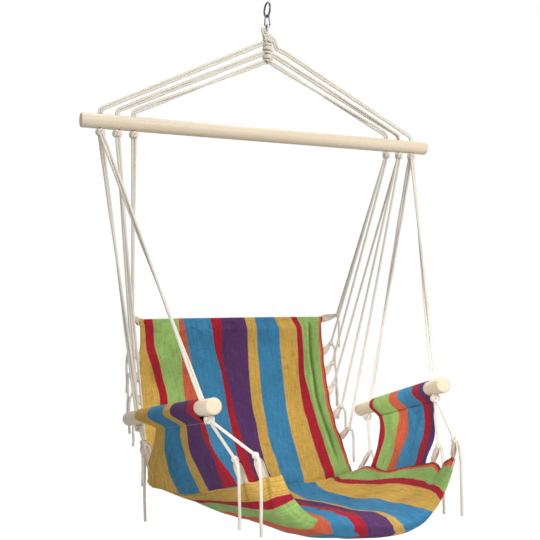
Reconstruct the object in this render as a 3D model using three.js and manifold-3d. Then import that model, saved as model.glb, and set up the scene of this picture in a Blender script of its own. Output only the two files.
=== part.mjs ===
// Hammock chair: a padded cloth sling hung by ropes from a wooden spreader bar.
// Millimetres. +X runs along the spreader bar, -Y is the front, +Z is up.
// The origin is the hanging point, inside the top of the steel hanging ring.
import * as THREE from 'three';
import { mergeVertices } from 'three/addons/utils/BufferGeometryUtils.js';
import Module from 'manifold-3d';

const wasm = await Module();
wasm.setup();

// Clearances
const gap = 0.3; // between pieces that touch
const cutOverrun = 5; // how far a cutting solid passes the face it cuts

// Steel hanging ring and rope link
const ringWire = 5;
const ringOuterDiameter = 42;
const linkWire = 4;
const linkHeight = 36;
const linkBottomRadius = 7;

// Rope
const ropeDiameter = 6.5;
const pairOverlap = 0.3; // two strands of a doubled rope press into each other this far
const barKnotRadius = 12;
const knotPress = 1; // how far a knot is pulled into its hole's rim
const loopKnotRadius = 8;

// Eye and lashing
const lashingTopDrop = 77; // from the hanging point to the top of the lashing
const lashingHeight = 81;
const lashingLoops = 10;
const fanRootShares = [0.27, 0.61, 0.91]; // of the lashing's height, where the fan ropes leave it

// Spreader bar
const barDiameter = 35;
const barLength = 960;
const barChamfer = 3;
const barDrop = 346; // hanging point to the bar's axis
const ropeHoleDiameter = 14.5;
const holeEndInset = 47; // bar end to the outer hole
const holeSpacing = 40;
const fanBendRadius = 14; // of a doubled rope where it turns into its hole

// Armrest dowels
const armDiameter = 35;
const armLength = 500;
const armChamfer = 3;
const armFrontSpread = 276; // from the middle to the front end's centre
const armRearSpread = 334;
const armFrontDrop = 633; // below the bar's axis
const armRise = 95; // the front end above the rear end
const armLevelDifference = 8.5; // each side was tied by hand, so one tilts more
const armFrontReach = 350; // the front ends ahead of the bar
const armRearHoleInset = 66;
const armFrontHoleInset = 48;

// Cloth
const casingWall = 3;
const casingRearGap = 3; // between the casing's rear end and the rope hole beside it
const casingFrontGap = 9; // the front rope slants over the casing's end
const panelThickness = 5;
const panelHem = 10; // how far the panel's foot laps below the sling's edge
const panelFoldDepth = 4;
const panelFolds = 3;
const panelFootInset = 4; // from the sling's edge to the middle of the panel's foot

// Sling: back and seat in one padded cloth
const slingHalfWidth = 278;
const backReach = 262; // the back's top edge behind the bar
const frontReach = 428; // the seat's nose ahead of the bar
const slingTopDrop = 470; // the back's top edge below the bar's axis
const slingHeight = 468; // top edge to the lowest part of the middle line
const padThickness = 70;
const hemThickness = 6;
const slingStations = 27;
const slingColumns = 15;

// Sewn ribbon loops
const loopWidth = 18;
const loopKnotWidth = 9;
const loopThickness = 3;
const loopLength = 34; // from the sling's edge to the middle of its knot
const tailLength = 105;
const tailStandOff = 13; // a tail hangs about this far outside its knot's middle

// Triangle counts
const ringSides = 8;
const ropeSides = 8;
const tautSteps = 2; // along a strand pulled straight
const tailSteps = 5;
const lashingSides = 6;
const lashingSteps = 18;
const roundSides = 24;

const colours = {
  steel: [0x8f9296, 0.25, 1],
  rope: [0xded4c4, 0.9, 0],
  wood: [0xe2caa2, 0.6, 0],
  cloth: [0x3c80a5, 0.95, 0],
  panel: [0xc0923c, 0.95, 0],
  ribbon: [0xe4d0bc, 0.9, 0],
};

const chair = new THREE.Group();

// Solids: closed geometry to manifold and back

function toSolid(geometry) {
  const bare = geometry.clone();
  bare.deleteAttribute('normal');
  bare.deleteAttribute('uv');
  const merged = mergeVertices(bare, 1e-3);
  const triVerts = Uint32Array.from(merged.index.array);
  const vertProperties = Float32Array.from(merged.attributes.position.array);
  const mesh = new wasm.Mesh({ numProp: 3, vertProperties, triVerts });
  mesh.merge();
  const solid = new wasm.Manifold(mesh);
  if (solid.volume() <= 0) throw new Error('a solid is inside out');
  return solid;
}

// A cut can leave crumbs beyond the cutting solid; only the main body is the piece
function mainBody(solid) {
  return solid.decompose().reduce((a, b) => (b.volume() > a.volume() ? b : a));
}

function fromSolid(solid) {
  const mesh = solid.getMesh();
  const geometry = new THREE.BufferGeometry();
  geometry.setAttribute('position', new THREE.BufferAttribute(mesh.vertProperties, 3));
  geometry.setIndex(new THREE.BufferAttribute(mesh.triVerts, 1));
  return geometry;
}

function addPiece(name, shape, colour) {
  const geometry = shape.isBufferGeometry ? shape : fromSolid(shape);
  const [hex, roughness, metalness] = colours[colour];
  const material = new THREE.MeshStandardMaterial({ color: hex, roughness, metalness });
  const mesh = new THREE.Mesh(geometry, material);
  mesh.name = name;
  chair.add(mesh);
  return mesh;
}

const vec = (x, y, z) => new THREE.Vector3(x, y, z);

// Round section of a rope strand
function strandShape(radius, sides) {
  const shape = new THREE.Shape();
  for (let i = 0; i < sides; i += 1) {
    const a = ((i + 0.5) / sides) * 2 * Math.PI;
    if (i === 0) shape.moveTo(radius * Math.cos(a), radius * Math.sin(a));
    else shape.lineTo(radius * Math.cos(a), radius * Math.sin(a));
  }
  shape.closePath();
  return shape;
}

// A single strand along a smooth curve through its points
function strand(points, diameter, steps) {
  const curve = new THREE.CatmullRomCurve3(points);
  const shape = strandShape(diameter / 2, ropeSides);
  return new THREE.ExtrudeGeometry(shape, { steps, extrudePath: curve, bevelEnabled: false });
}

// A closed outline carried along a row of points, its second axis kept near the given direction
function sweep(outline, points, facing, scales) {
  const count = outline.length;
  const positions = [];
  const index = [];
  points.forEach((point, i) => {
    const before = points[Math.max(i - 1, 0)];
    const after = points[Math.min(i + 1, points.length - 1)];
    const tangent = after.clone().sub(before).normalize();
    const up = facing.clone().addScaledVector(tangent, -facing.dot(tangent)).normalize();
    const across = up.clone().cross(tangent);
    const grow = scales ? scales[i] : 1;
    outline.forEach(([a, b]) => {
      const p = point.clone().addScaledVector(across, a * grow).addScaledVector(up, b);
      positions.push(p.x, p.y, p.z);
    });
  });
  for (let i = 0; i + 1 < points.length; i += 1) {
    for (let j = 0; j < count; j += 1) {
      const a = i * count + j;
      const b = i * count + ((j + 1) % count);
      index.push(a, b, b + count, a, b + count, a + count);
    }
  }
  const cap = THREE.ShapeUtils.triangulateShape(
    outline.map(([a, b]) => new THREE.Vector2(a, b)),
    [],
  );
  const last = (points.length - 1) * count;
  cap.forEach(([a, b, c]) => {
    index.push(c, b, a);
    index.push(last + a, last + b, last + c);
  });
  const geometry = new THREE.BufferGeometry();
  geometry.setAttribute('position', new THREE.Float32BufferAttribute(positions, 3));
  geometry.setIndex(index);
  return geometry;
}

// Two strands side by side, as one figure-of-eight outline
const pairOffset = (ropeDiameter - pairOverlap) / 2;
const pairHalfWidth = pairOffset + ropeDiameter / 2;

function pairOutline() {
  const radius = ropeDiameter / 2;
  const waist = Math.acos(pairOffset / radius);
  const outline = [];
  const steps = 5;
  for (const way of [1, -1]) {
    for (let i = 0; i <= steps; i += 1) {
      const a = waist - Math.PI + (i / steps) * 2 * (Math.PI - waist);
      if (way < 0 && (i === 0 || i === steps)) continue;
      outline.push([way * (pairOffset + radius * Math.cos(a)), way * radius * Math.sin(a)]);
    }
  }
  return outline;
}

function ball(centre, radius, columns, rows) {
  const geometry = new THREE.SphereGeometry(radius, columns, rows);
  return toSolid(geometry.translate(centre.x, centre.y, centre.z));
}

const knotBall = (centre, radius) => ball(centre, radius, 10, 7);
const knotClearance = (centre, radius) => ball(centre, radius + gap, 14, 10);

function rod(from, to, radius, sides) {
  const length = from.distanceTo(to);
  const geometry = new THREE.CylinderGeometry(radius, radius, length, sides);
  const turn = new THREE.Quaternion().setFromUnitVectors(
    vec(0, 1, 0),
    to.clone().sub(from).normalize(),
  );
  geometry.applyQuaternion(turn);
  const middle = from.clone().lerp(to, 0.5);
  return toSolid(geometry.translate(middle.x, middle.y, middle.z));
}

// Turned dowel between two end centres, with chamfered ends
function dowel(from, to, diameter, chamfer) {
  const half = from.distanceTo(to) / 2;
  const radius = diameter / 2;
  const profile = [
    [0, -half],
    [radius - chamfer, -half],
    [radius, chamfer - half],
    [radius, half - chamfer],
    [radius - chamfer, half],
    [0, half],
  ].map(([r, y]) => new THREE.Vector2(r, y));
  const geometry = new THREE.LatheGeometry(profile, roundSides);
  geometry.applyQuaternion(
    new THREE.Quaternion().setFromUnitVectors(vec(0, 1, 0), to.clone().sub(from).normalize()),
  );
  const middle = from.clone().lerp(to, 0.5);
  return toSolid(geometry.translate(middle.x, middle.y, middle.z));
}

// A dowel with upright rope holes; grown, it cuts the knots that are pulled against it
const ropeHoleRadius = ropeHoleDiameter / 2;
const knotSeat = Math.sqrt(barKnotRadius ** 2 - ropeHoleRadius ** 2) - knotPress;

function boredDowel(from, to, diameter, chamfer, holes, grow) {
  let body = dowel(from, to, diameter + 2 * grow, chamfer);
  const reach = diameter / 2 + cutOverrun;
  for (const hole of holes) {
    const top = hole.clone().setZ(hole.z + reach);
    const foot = hole.clone().setZ(hole.z - reach);
    body = body.subtract(rod(foot, top, ropeHoleRadius - grow, 16));
  }
  return body;
}

// Steel: the ring stands in the YZ plane, the link hangs across it in the XZ plane
const ringRadius = (ringOuterDiameter - ringWire) / 2;
const ringCentreZ = ringWire / 2 - ringRadius;
const swayAxisZ = ringCentreZ - ringRadius; // the middle of the ring's lowest wire
const linkTopRadius = (ringWire + linkWire) / 2 + gap;
const swingAxisZ = swayAxisZ + linkTopRadius + linkWire / 2 - linkHeight + linkWire / 2;

function hangingRing() {
  const geometry = new THREE.TorusGeometry(ringRadius, ringWire / 2, ringSides, roundSides);
  geometry.rotateY(Math.PI / 2);
  return geometry.translate(0, 0, ringCentreZ);
}

// Teardrop link: a small bend over the ring, a wider one for the rope
function ropeLink() {
  const bottomCentreZ = swingAxisZ + linkBottomRadius;
  const drop = swayAxisZ - bottomCentreZ;
  const lean = Math.asin((linkBottomRadius - linkTopRadius) / drop);
  const points = [];
  const arc = (centreZ, radius, start, end, steps) => {
    for (let i = 0; i <= steps; i += 1) {
      const a = start + ((end - start) * i) / steps;
      points.push(vec(radius * Math.cos(a), 0, centreZ + radius * Math.sin(a)));
    }
  };
  arc(swayAxisZ, linkTopRadius, lean, Math.PI - lean, 8);
  arc(bottomCentreZ, linkBottomRadius, Math.PI - lean, 2 * Math.PI + lean, 10);
  const path = new THREE.CatmullRomCurve3(points, true, 'centripetal');
  const geometry = new THREE.TubeGeometry(path, 28, linkWire / 2, ringSides, true);
  return geometry;
}

// Rope eye: one bight over the link's lowest wire, both legs running down into the lashing
const eyeBightRadius = (linkWire + ropeDiameter) / 2 + gap;
const eyeLegOffset = (ropeDiameter + gap) / 2;
const lashingBottomZ = -lashingTopDrop - lashingHeight;

function ropeEye() {
  const points = [];
  points.push(vec(0, eyeLegOffset, lashingBottomZ));
  points.push(vec(0, eyeLegOffset, -lashingTopDrop - lashingHeight / 2));
  points.push(vec(0, eyeLegOffset, -lashingTopDrop));
  for (const a of [0, 0.25, 0.5, 0.75, 1]) {
    const turn = a * Math.PI;
    points.push(vec(0, eyeBightRadius * Math.cos(turn), swingAxisZ + eyeBightRadius * Math.sin(turn)));
  }
  points.push(vec(0, -eyeLegOffset, -lashingTopDrop));
  points.push(vec(0, -eyeLegOffset, -lashingTopDrop - lashingHeight / 2));
  points.push(vec(0, -eyeLegOffset, lashingBottomZ));
  return strand(points, ropeDiameter, 32);
}

// Lashing: one strand wound round both legs, its two ends lying straight along them
const lashingRadius = eyeLegOffset + ropeDiameter + gap;
const lashingOuterRadius = lashingRadius + ropeDiameter / 2;

function eyeLashing() {
  const pitch = (lashingHeight - ropeDiameter) / lashingLoops;
  const turns = lashingLoops;
  const top = -lashingTopDrop - ropeDiameter / 2;
  const points = [];
  const steps = turns * lashingSteps;
  for (let i = 0; i <= steps; i += 1) {
    const a = (i / lashingSteps) * 2 * Math.PI;
    const z = top - (i / lashingSteps) * pitch;
    points.push(vec(lashingRadius * Math.cos(a), lashingRadius * Math.sin(a), z));
  }
  let least = Infinity;
  for (let i = 0; i + lashingSteps / 2 < points.length; i += 1) {
    for (let j = i + lashingSteps / 2; j < points.length; j += 1) {
      least = Math.min(least, points[i].distanceTo(points[j]) - ropeDiameter);
    }
  }
  console.log(`least gap of the lashing to itself: ${least.toFixed(2)} mm`);
  const outline = [];
  for (let i = 0; i < lashingSides; i += 1) {
    const a = (i / lashingSides) * 2 * Math.PI;
    outline.push([(ropeDiameter / 2) * Math.cos(a), (ropeDiameter / 2) * Math.sin(a)]);
  }
  return sweep(outline, points, vec(0, 0, 1));
}

// Spreader bar with three rope holes at each end
const barRadius = barDiameter / 2;
const barZ = -barDrop;
const holeShift = [0, 1, 2];
const holeNames = ['outer', 'middle', 'inner'];
const holeX = (side, n) => side * (barLength / 2 - holeEndInset - n * holeSpacing);
const knotZ = barZ - barRadius - knotSeat;
const sides = [
  ['left', -1],
  ['right', 1],
];

function spreaderBar(grow) {
  const from = vec(-barLength / 2, 0, barZ);
  const to = vec(barLength / 2, 0, barZ);
  const holes = sides.flatMap(([, side]) => holeShift.map((n) => vec(holeX(side, n), 0, barZ)));
  return boredDowel(from, to, barDiameter, barChamfer, holes, grow);
}

const clearOfBar = spreaderBar(gap);

// Fan rope: a doubled rope from the lashing, over a bend, down its hole to the knot below
const lashingClearance = rod(
  vec(0, 0, -lashingTopDrop + cutOverrun),
  vec(0, 0, lashingBottomZ - cutOverrun),
  lashingOuterRadius + gap,
  roundSides,
);

function fanRope(side, n) {
  const x = holeX(side, n);
  const root = vec(0, 0, -lashingTopDrop - fanRootShares[n] * lashingHeight);
  const bendFoot = vec(x, 0, barZ + barRadius + ropeDiameter / 2);
  const centre = vec(x - side * fanBendRadius, 0, bendFoot.z);
  // the straight run is tangent to the bend
  const away = root.clone().sub(centre);
  const reach = away.length();
  const base = Math.atan2(away.z, side * away.x);
  const turn = base - Math.acos(fanBendRadius / reach);
  const points = [root];
  const bendSteps = 4;
  for (let i = bendSteps; i >= 0; i -= 1) {
    const a = (turn * i) / bendSteps;
    points.push(
      vec(centre.x + side * fanBendRadius * Math.cos(a), 0, centre.z + fanBendRadius * Math.sin(a)),
    );
  }
  points.push(vec(x, 0, knotZ));
  const knot = knotBall(vec(x, 0, knotZ), barKnotRadius).subtract(clearOfBar);
  return toSolid(sweep(pairOutline(), points, vec(0, 1, 0)))
    .subtract(lashingClearance)
    .add(knot);
}

// Armrests: each dowel rises to the front and the pair spreads to the rear
function armEnds(side) {
  const level = side * armLevelDifference;
  const run = Math.sqrt(armLength ** 2 - armRise ** 2 - (armRearSpread - armFrontSpread) ** 2);
  const frontZ = barZ - armFrontDrop;
  const front = vec(side * armFrontSpread, -armFrontReach, frontZ + level);
  const rear = vec(side * armRearSpread, run - armFrontReach, frontZ - armRise - level);
  return [rear, front];
}

function armPoint(side, fromRear) {
  const [rear, front] = armEnds(side);
  return rear.clone().lerp(front, fromRear / armLength);
}

const armRadius = armDiameter / 2;
const armHoleFromRear = { rear: armRearHoleInset, front: armLength - armFrontHoleInset };

function armDowel(side, grow) {
  const [rear, front] = armEnds(side);
  const holes = Object.values(armHoleFromRear).map((place) => armPoint(side, place));
  return boredDowel(rear, front, armDiameter, armChamfer, holes, grow);
}

function armKnotPoint(side, end) {
  const [rear, front] = armEnds(side);
  const slope = Math.hypot(front.x - rear.x, front.y - rear.y) / rear.distanceTo(front);
  const p = armPoint(side, armHoleFromRear[end]);
  return p.setZ(p.z - (armRadius + knotSeat) / slope);
}

// Armrest rope: doubled, from the outer bar knot through the dowel to the knot below it
function armRope(side, end) {
  const knot = vec(holeX(side, 0), 0, knotZ);
  const foot = armKnotPoint(side, end);
  const apart = (end === 'front' ? -1 : 1) * (ropeDiameter / 2 + gap);
  const start = knot.clone().add(vec(0, apart, 0));
  const entry = armPoint(side, armHoleFromRear[end]);
  entry.z += armRadius + ropeDiameter;
  const lead = start.clone().lerp(entry, 1 - ropeDiameter / start.distanceTo(entry));
  const points = [start, lead, vec(entry.x, entry.y, entry.z - ropeDiameter), foot];
  return toSolid(sweep(pairOutline(), points, vec(0, 1, 0)))
    .subtract(knotClearance(knot, barKnotRadius))
    .add(knotBall(foot, barKnotRadius).subtract(armDowel(side, gap)));
}

// Sling: shares of its reach, width and height at stations from the back's top edge to the nose.
// A reach share above zero is of the back's reach, below zero of the front's.
// Other tables are pairs: a share of the sling's length, and the value there.
const wallPowerShares = {
  // how late a side wall rises: 1 is a straight slope from the middle line to the edge
  '-1': [[0, 3], [0.35, 3], [0.48, 1.3], [0.6, 1.1], [0.7, 1.6], [0.8, 2.8], [0.9, 4.2], [1, 4.2]],
  1: [[0, 3], [0.44, 3], [0.56, 4.2], [1, 4.2]],
};
// How far the walls are rounder than straight, and how full the padding stays towards the hems
const bowShares = [[0, 0.12], [0.6, 0.12], [0.85, 0.024], [1, 0.024]];
const crownPowerShares = [[0, 4], [0.44, 4], [0.64, 2], [1, 2]];
const midShares = [
  // reach, drop, thickness, and how far the floor leans down to the right, of the half width
  [1, 0, 0.1, 0],
  [1.04, 0.06, 0.5, 0],
  [1.085, 0.26, 0.64, 0],
  [1.05, 0.47, 0.68, 0],
  [0.89, 0.665, 0.66, 0],
  [0.59, 0.83, 0.54, 0],
  [0.23, 0.935, 0.2, 0],
  [-0.05, 0.975, 0.52, 0],
  [-0.28, 0.985, 0.74, 0.02],
  [-0.51, 0.96, 0.82, 0.05],
  [-0.75, 0.938, 0.8, 0.08],
  [-0.9, 0.917, 0.76, 0.11],
  [-0.975, 0.908, 0.56, 0.13],
  [-1, 0.906, 0.1, 0.13],
];
const rightEdgeShares = [
  // width, reach, drop
  [1, 0.98, 0],
  [1, 0.975, 0.06],
  [0.996, 0.94, 0.26],
  [0.993, 0.83, 0.47],
  [0.989, 0.65, 0.66],
  [0.978, 0.4, 0.8],
  [0.964, 0.22, 0.9],
  [0.986, -0.01, 0.845],
  [0.996, -0.22, 0.838],
  [0.996, -0.47, 0.774],
  [0.978, -0.7, 0.722],
  [0.95, -0.865, 0.684],
  [0.935, -0.93, 0.662],
  [0.928, -0.953, 0.658],
];
const leftEdgeShares = [
  [1, 0.98, 0],
  [1, 0.975, 0.06],
  [0.998, 0.94, 0.26],
  [1, 0.86, 0.47],
  [1.02, 0.72, 0.66],
  [1.05, 0.5, 0.79],
  [1.06, 0.3, 0.855],
  [1.035, 0, 0.842],
  [1, -0.22, 0.83],
  [0.95, -0.47, 0.79],
  [0.9, -0.7, 0.735],
  [0.84, -0.865, 0.697],
  [0.72, -0.96, 0.66],
  [0.6, -1, 0.635],
];
const reachAt = (share) => share * (share > 0 ? backReach : frontReach);
const dropAt = (share) => barZ - slingTopDrop - share * slingHeight;
const midCurve = new THREE.CatmullRomCurve3(
  midShares.map(([reach, drop]) => vec(0, reachAt(reach), dropAt(drop))),
);
const edgeCurve = (side, shares) =>
  new THREE.CatmullRomCurve3(
    shares.map(([width, reach, drop]) =>
      vec(side * width * slingHalfWidth, reachAt(reach), dropAt(drop)),
    ),
  );
const edgeCurves = {
  '-1': edgeCurve(-1, leftEdgeShares),
  1: edgeCurve(1, rightEdgeShares),
};

// One column of the middle line's table, at a share of the sling's length
function midShareAt(along, column) {
  const place = along * (midShares.length - 1);
  const n = Math.min(Math.floor(place), midShares.length - 2);
  return THREE.MathUtils.lerp(midShares[n][column], midShares[n + 1][column], place - n);
}

// A value from pairs of a share and a value, at a share of the sling's length
function valueAt(pairs, along) {
  const n = Math.max(pairs.findIndex(([share]) => share >= along), 1);
  const [before, low] = pairs[n - 1];
  const [after, high] = pairs[n];
  return THREE.MathUtils.lerp(low, high, (along - before) / (after - before));
}

function slingPoint(along, across) {
  const side = across < 0 ? -1 : 1;
  const mid = midCurve.getPoint(along);
  const edge = edgeCurves[side].getPoint(along);
  const w = Math.abs(across);
  const wide = w + valueAt(bowShares, along) * (w - w ** 3);
  const rise = w ** valueAt(wallPowerShares[side], along);
  const lean = -side * midShareAt(along, 3) * slingHalfWidth;
  return vec(
    mid.x + (edge.x - mid.x) * wide,
    mid.y + (edge.y - mid.y) * w ** 3,
    mid.z + lean * w + (edge.z - mid.z - lean) * rise,
  );
}

function slingNormal(along, across) {
  const step = 1e-3;
  const lengthwise = slingPoint(Math.min(along + step, 1), across).sub(
    slingPoint(Math.max(along - step, 0), across),
  );
  const crosswise = slingPoint(along, Math.min(across + step, 1)).sub(
    slingPoint(along, Math.max(across - step, -1)),
  );
  return lengthwise.cross(crosswise).normalize();
}

function slingGeometry() {
  const rows = slingStations;
  const columns = slingColumns;
  const top = [];
  const under = [];
  for (let i = 0; i < rows; i += 1) {
    for (let j = 0; j < columns; j += 1) {
      const along = i / (rows - 1);
      const across = -1 + (2 * j) / (columns - 1);
      const crown = 1 - Math.abs(across) ** valueAt(crownPowerShares, along);
      const pad = midShareAt(along, 2) * padThickness;
      const thick = hemThickness + Math.max(pad - hemThickness, 0) * crown;
      const p = slingPoint(along, across);
      const n = slingNormal(along, across);
      top.push(p.clone().addScaledVector(n, thick / 2));
      under.push(p.clone().addScaledVector(n, -thick / 2));
    }
  }
  const positions = [...top, ...under].flatMap((p) => [p.x, p.y, p.z]);
  const index = [];
  const size = rows * columns;
  const quad = (a, b, c, d) => index.push(a, b, c, a, c, d);
  for (let i = 0; i + 1 < rows; i += 1) {
    for (let j = 0; j + 1 < columns; j += 1) {
      const a = i * columns + j;
      quad(a, a + columns, a + columns + 1, a + 1);
      quad(size + a, size + a + 1, size + a + columns + 1, size + a + columns);
    }
  }
  for (let i = 0; i + 1 < rows; i += 1) {
    const left = i * columns;
    const right = left + columns - 1;
    quad(left, size + left, size + left + columns, left + columns);
    quad(right, right + columns, size + right + columns, size + right);
  }
  for (let j = 0; j + 1 < columns; j += 1) {
    const last = (rows - 1) * columns + j;
    quad(j, j + 1, size + j + 1, size + j);
    quad(last, size + last, size + last + 1, last + 1);
  }
  const geometry = new THREE.BufferGeometry();
  geometry.setAttribute('position', new THREE.Float32BufferAttribute(positions, 3));
  geometry.setIndex(index);
  return geometry;
}

// The same shape pushed out all round, to cut what lies against it
function slingClearance() {
  const geometry = slingGeometry();
  geometry.computeVertexNormals();
  const place = geometry.attributes.position;
  const normal = geometry.attributes.normal;
  const grow = 2 * gap;
  for (let i = 0; i < place.count; i += 1) {
    place.setXYZ(
      i,
      place.getX(i) + grow * normal.getX(i),
      place.getY(i) + grow * normal.getY(i),
      place.getZ(i) + grow * normal.getZ(i),
    );
  }
  return toSolid(geometry);
}

const sling = toSolid(slingGeometry());
const clearOfSling = slingClearance();

// Where an edge of the sling lies at a share of its length
const edgeAt = (side, along) => slingPoint(along, side);

// Side panel: a casing round the dowel and a flap down to the sling's edge
const casingOuterRadius = armRadius + gap + casingWall;
const casingFromRear = armRearHoleInset + ropeHoleDiameter / 2 + casingRearGap;
const casingToRear = armLength - armFrontHoleInset - ropeHoleDiameter / 2 - casingFrontGap;
const panelHeadShare = 0.2; // of the casing's length, where the flap's rear edge begins
const panelFootShares = {
  // along the sling's edge, rear and front corner
  '-1': [0.53, 0.79],
  1: [0.56, 0.73],
};

function sidePanel(side) {
  const [rear, front] = armEnds(side);
  const axis = front.clone().sub(rear).normalize();
  const out = vec(side, 0, 0).addScaledVector(axis, -side * axis.x).normalize();
  const from = armPoint(side, casingFromRear);
  const to = armPoint(side, casingToRear);
  const columns = 15;
  const rows = 8;
  const outer = [];
  const inner = [];
  for (let i = 0; i < columns; i += 1) {
    const u = i / (columns - 1);
    const head = from.clone().lerp(to, panelHeadShare + (1 - panelHeadShare) * u);
    head.z -= armRadius + gap + casingWall / 2;
    const [rearShare, frontShare] = panelFootShares[side];
    const along = rearShare + (frontShare - rearShare) * u;
    const foot = edgeAt(side, along);
    foot.x += side * (panelThickness / 2 + panelFootInset);
    foot.z -= panelHem;
    for (let j = 0; j < rows; j += 1) {
      const v = j / (rows - 1);
      const p = head.clone().lerp(foot, v);
      const hang = Math.sin(Math.PI * v);
      const fold = panelFoldDepth * Math.sin(u * panelFolds * 2 * Math.PI) * v * hang;
      p.addScaledVector(out, panelFoldDepth * hang + fold);
      outer.push(p.clone().addScaledVector(out, panelThickness / 2));
      inner.push(p.clone().addScaledVector(out, -panelThickness / 2));
    }
  }
  const positions = [...outer, ...inner].flatMap((p) => [p.x, p.y, p.z]);
  const index = [];
  const size = columns * rows;
  const quad = (a, b, c, d) => {
    if (side < 0) index.push(a, b, c, a, c, d);
    else index.push(a, c, b, a, d, c);
  };
  for (let i = 0; i + 1 < columns; i += 1) {
    for (let j = 0; j + 1 < rows; j += 1) {
      const a = i * rows + j;
      quad(a, a + 1, a + rows + 1, a + rows);
      quad(size + a, size + a + rows, size + a + rows + 1, size + a + 1);
    }
    const foot = i * rows + rows - 1;
    quad(i * rows, i * rows + rows, size + i * rows + rows, size + i * rows);
    quad(foot, size + foot, size + foot + rows, foot + rows);
  }
  for (let j = 0; j + 1 < rows; j += 1) {
    const last = (columns - 1) * rows + j;
    quad(j, size + j, size + j + 1, j + 1);
    quad(last, last + 1, size + last + 1, size + last);
  }
  const geometry = new THREE.BufferGeometry();
  geometry.setAttribute('position', new THREE.Float32BufferAttribute(positions, 3));
  geometry.setIndex(index);
  const beyond = axis.clone().multiplyScalar(cutOverrun);
  const casing = rod(from, to, casingOuterRadius, roundSides);
  const bore = rod(
    from.clone().sub(beyond),
    to.clone().add(beyond),
    armRadius + gap,
    roundSides,
  );
  return toSolid(geometry).add(casing).subtract(bore).subtract(clearOfSling);
}

// Ribbon loops: places along the sling's edge, and the way each is pulled
// Share along the edge, then outward, forward and upward pull, and share of the loop's length
const loopShares = {
  '-1': [
    [0.02, 0.62, 0.68, 0.4, 1],
    [0.14, 0.68, 0.09, 0.73, 1],
    [0.185, 0.67, 0.05, 0.74, 0.98],
    [0.23, 0.66, -0.07, 0.75, 0.92],
    [0.285, 0.48, 0.53, 0.7, 1.05],
    [0.34, 0.14, 0.85, 0.52, 1.3],
    [0.5, 0.25, -0.05, 0.96, 3.05],
    [0.865, 0.25, -0.35, 0.9, 1.45],
    [0.93, 0.4, 0.1, 0.95, 1.42],
  ],
  1: [
    [0.02, 0.75, 0.6, 0.25, 1.35],
    [0.14, 0.68, 0.1, 0.72, 1],
    [0.185, 0.68, -0.02, 0.72, 1],
    [0.23, 0.68, -0.3, 0.7, 1],
    [0.285, 0.68, 0.1, 0.73, 1],
    [0.34, 0.6, 0.45, 0.73, 1],
    [0.49, 0.5, 0.2, 0.9, 1.75],
    [0.775, 0.2, 0.3, 0.95, 1.25],
    [0.93, 0.12, 0, 0.97, 1.15],
  ],
};

function loopKnotPoint(side, n) {
  const [along, out, forward, up, share] = loopShares[side][n];
  const pull = vec(side * out, -forward, up).normalize();
  return edgeAt(side, along).addScaledVector(pull, share * loopLength);
}

function loopOutline() {
  const a = loopWidth / 2;
  const b = loopThickness / 2;
  return [
    [-a, -b],
    [a, -b],
    [a, b],
    [-a, b],
  ];
}

function ribbonLoop(side, n) {
  const [along] = loopShares[side][n];
  const foot = edgeAt(side, along);
  const knot = loopKnotPoint(side, n);
  const edgeWay = edgeCurves[side].getTangent(along);
  const points = [foot, foot.clone().lerp(knot, 0.5), knot];
  const narrow = loopKnotWidth / loopWidth;
  const facing = knot.clone().sub(foot).cross(edgeWay);
  const strap = sweep(loopOutline(), points, facing, [1, (1 + narrow) / 2, narrow]);
  const cut = toSolid(strap)
    .subtract(clearOfSling)
    .subtract(knotClearance(knot, loopKnotRadius + gap));
  return mainBody(cut);
}

// Tails: share of the tail's length, then how far it hangs outward and forward of its knot
const tailShares = {
  '-1': [
    [1.15, 1, 0],
    [1.1, 1, 0],
    [1.05, 1, 0],
    [1, 1, 0],
    [0.63, 1, 0],
    [0.95, 1, 1.6],
    [1.7, 0.5, 2.2],
    [1.24, 0.3, 2.4],
    [1.43, -0.1, 1.6],
  ],
  1: [
    [0.9, 0.5, 0],
    [0.6, 1, 0],
    [1.2, 1, 0],
    [1, 1, 0],
    [0.75, 1, 0],
    [0.9, 1, 0],
    [1.15, 1, 0],
    [1.49, 1, -0.2],
    [1.59, 1.25, 0],
  ],
};

// Tail: the strand's free end, hanging down beside its knot
function tailPoints(side, n) {
  const knot = loopKnotPoint(side, n);
  const [lengthShare, outShare, forwardShare] = tailShares[side][n];
  const length = lengthShare * tailLength;
  const beside = vec(side * outShare, -forwardShare, 0).multiplyScalar(tailStandOff);
  return [
    knot,
    knot.clone().addScaledVector(beside, 0.7).add(vec(0, 0, -loopKnotRadius)),
    knot.clone().add(beside).add(vec(0, 0, -length * 0.3)),
    knot.clone().add(beside).add(vec(0, 0, -length * 0.65)),
    knot.clone().add(beside).add(vec(0, 0, -length)),
  ];
}

// A strand from an upper knot to a loop's knot, with its tail
function hangingStrand(side, start, upperKnot, n) {
  const knot = loopKnotPoint(side, n);
  const taut = toSolid(strand([start, start.clone().lerp(knot, 0.5), knot], ropeDiameter, tautSteps));
  const tail = toSolid(strand(tailPoints(side, n), ropeDiameter, tailSteps));
  return taut
    .subtract(knotClearance(upperKnot, barKnotRadius))
    .add(knotBall(knot, loopKnotRadius))
    .add(tail);
}

// The strands that leave a knot lie side by side, as far apart as their thickness asks
const strandsPerKnot = 3;
const bunchRadius = (ropeDiameter / 2 + gap) / Math.sin(Math.PI / strandsPerKnot);

function bunchPoint(knot, turnShare) {
  const a = turnShare * 2 * Math.PI;
  return knot.clone().add(vec(bunchRadius * Math.cos(a), bunchRadius * Math.sin(a), 0));
}

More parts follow.
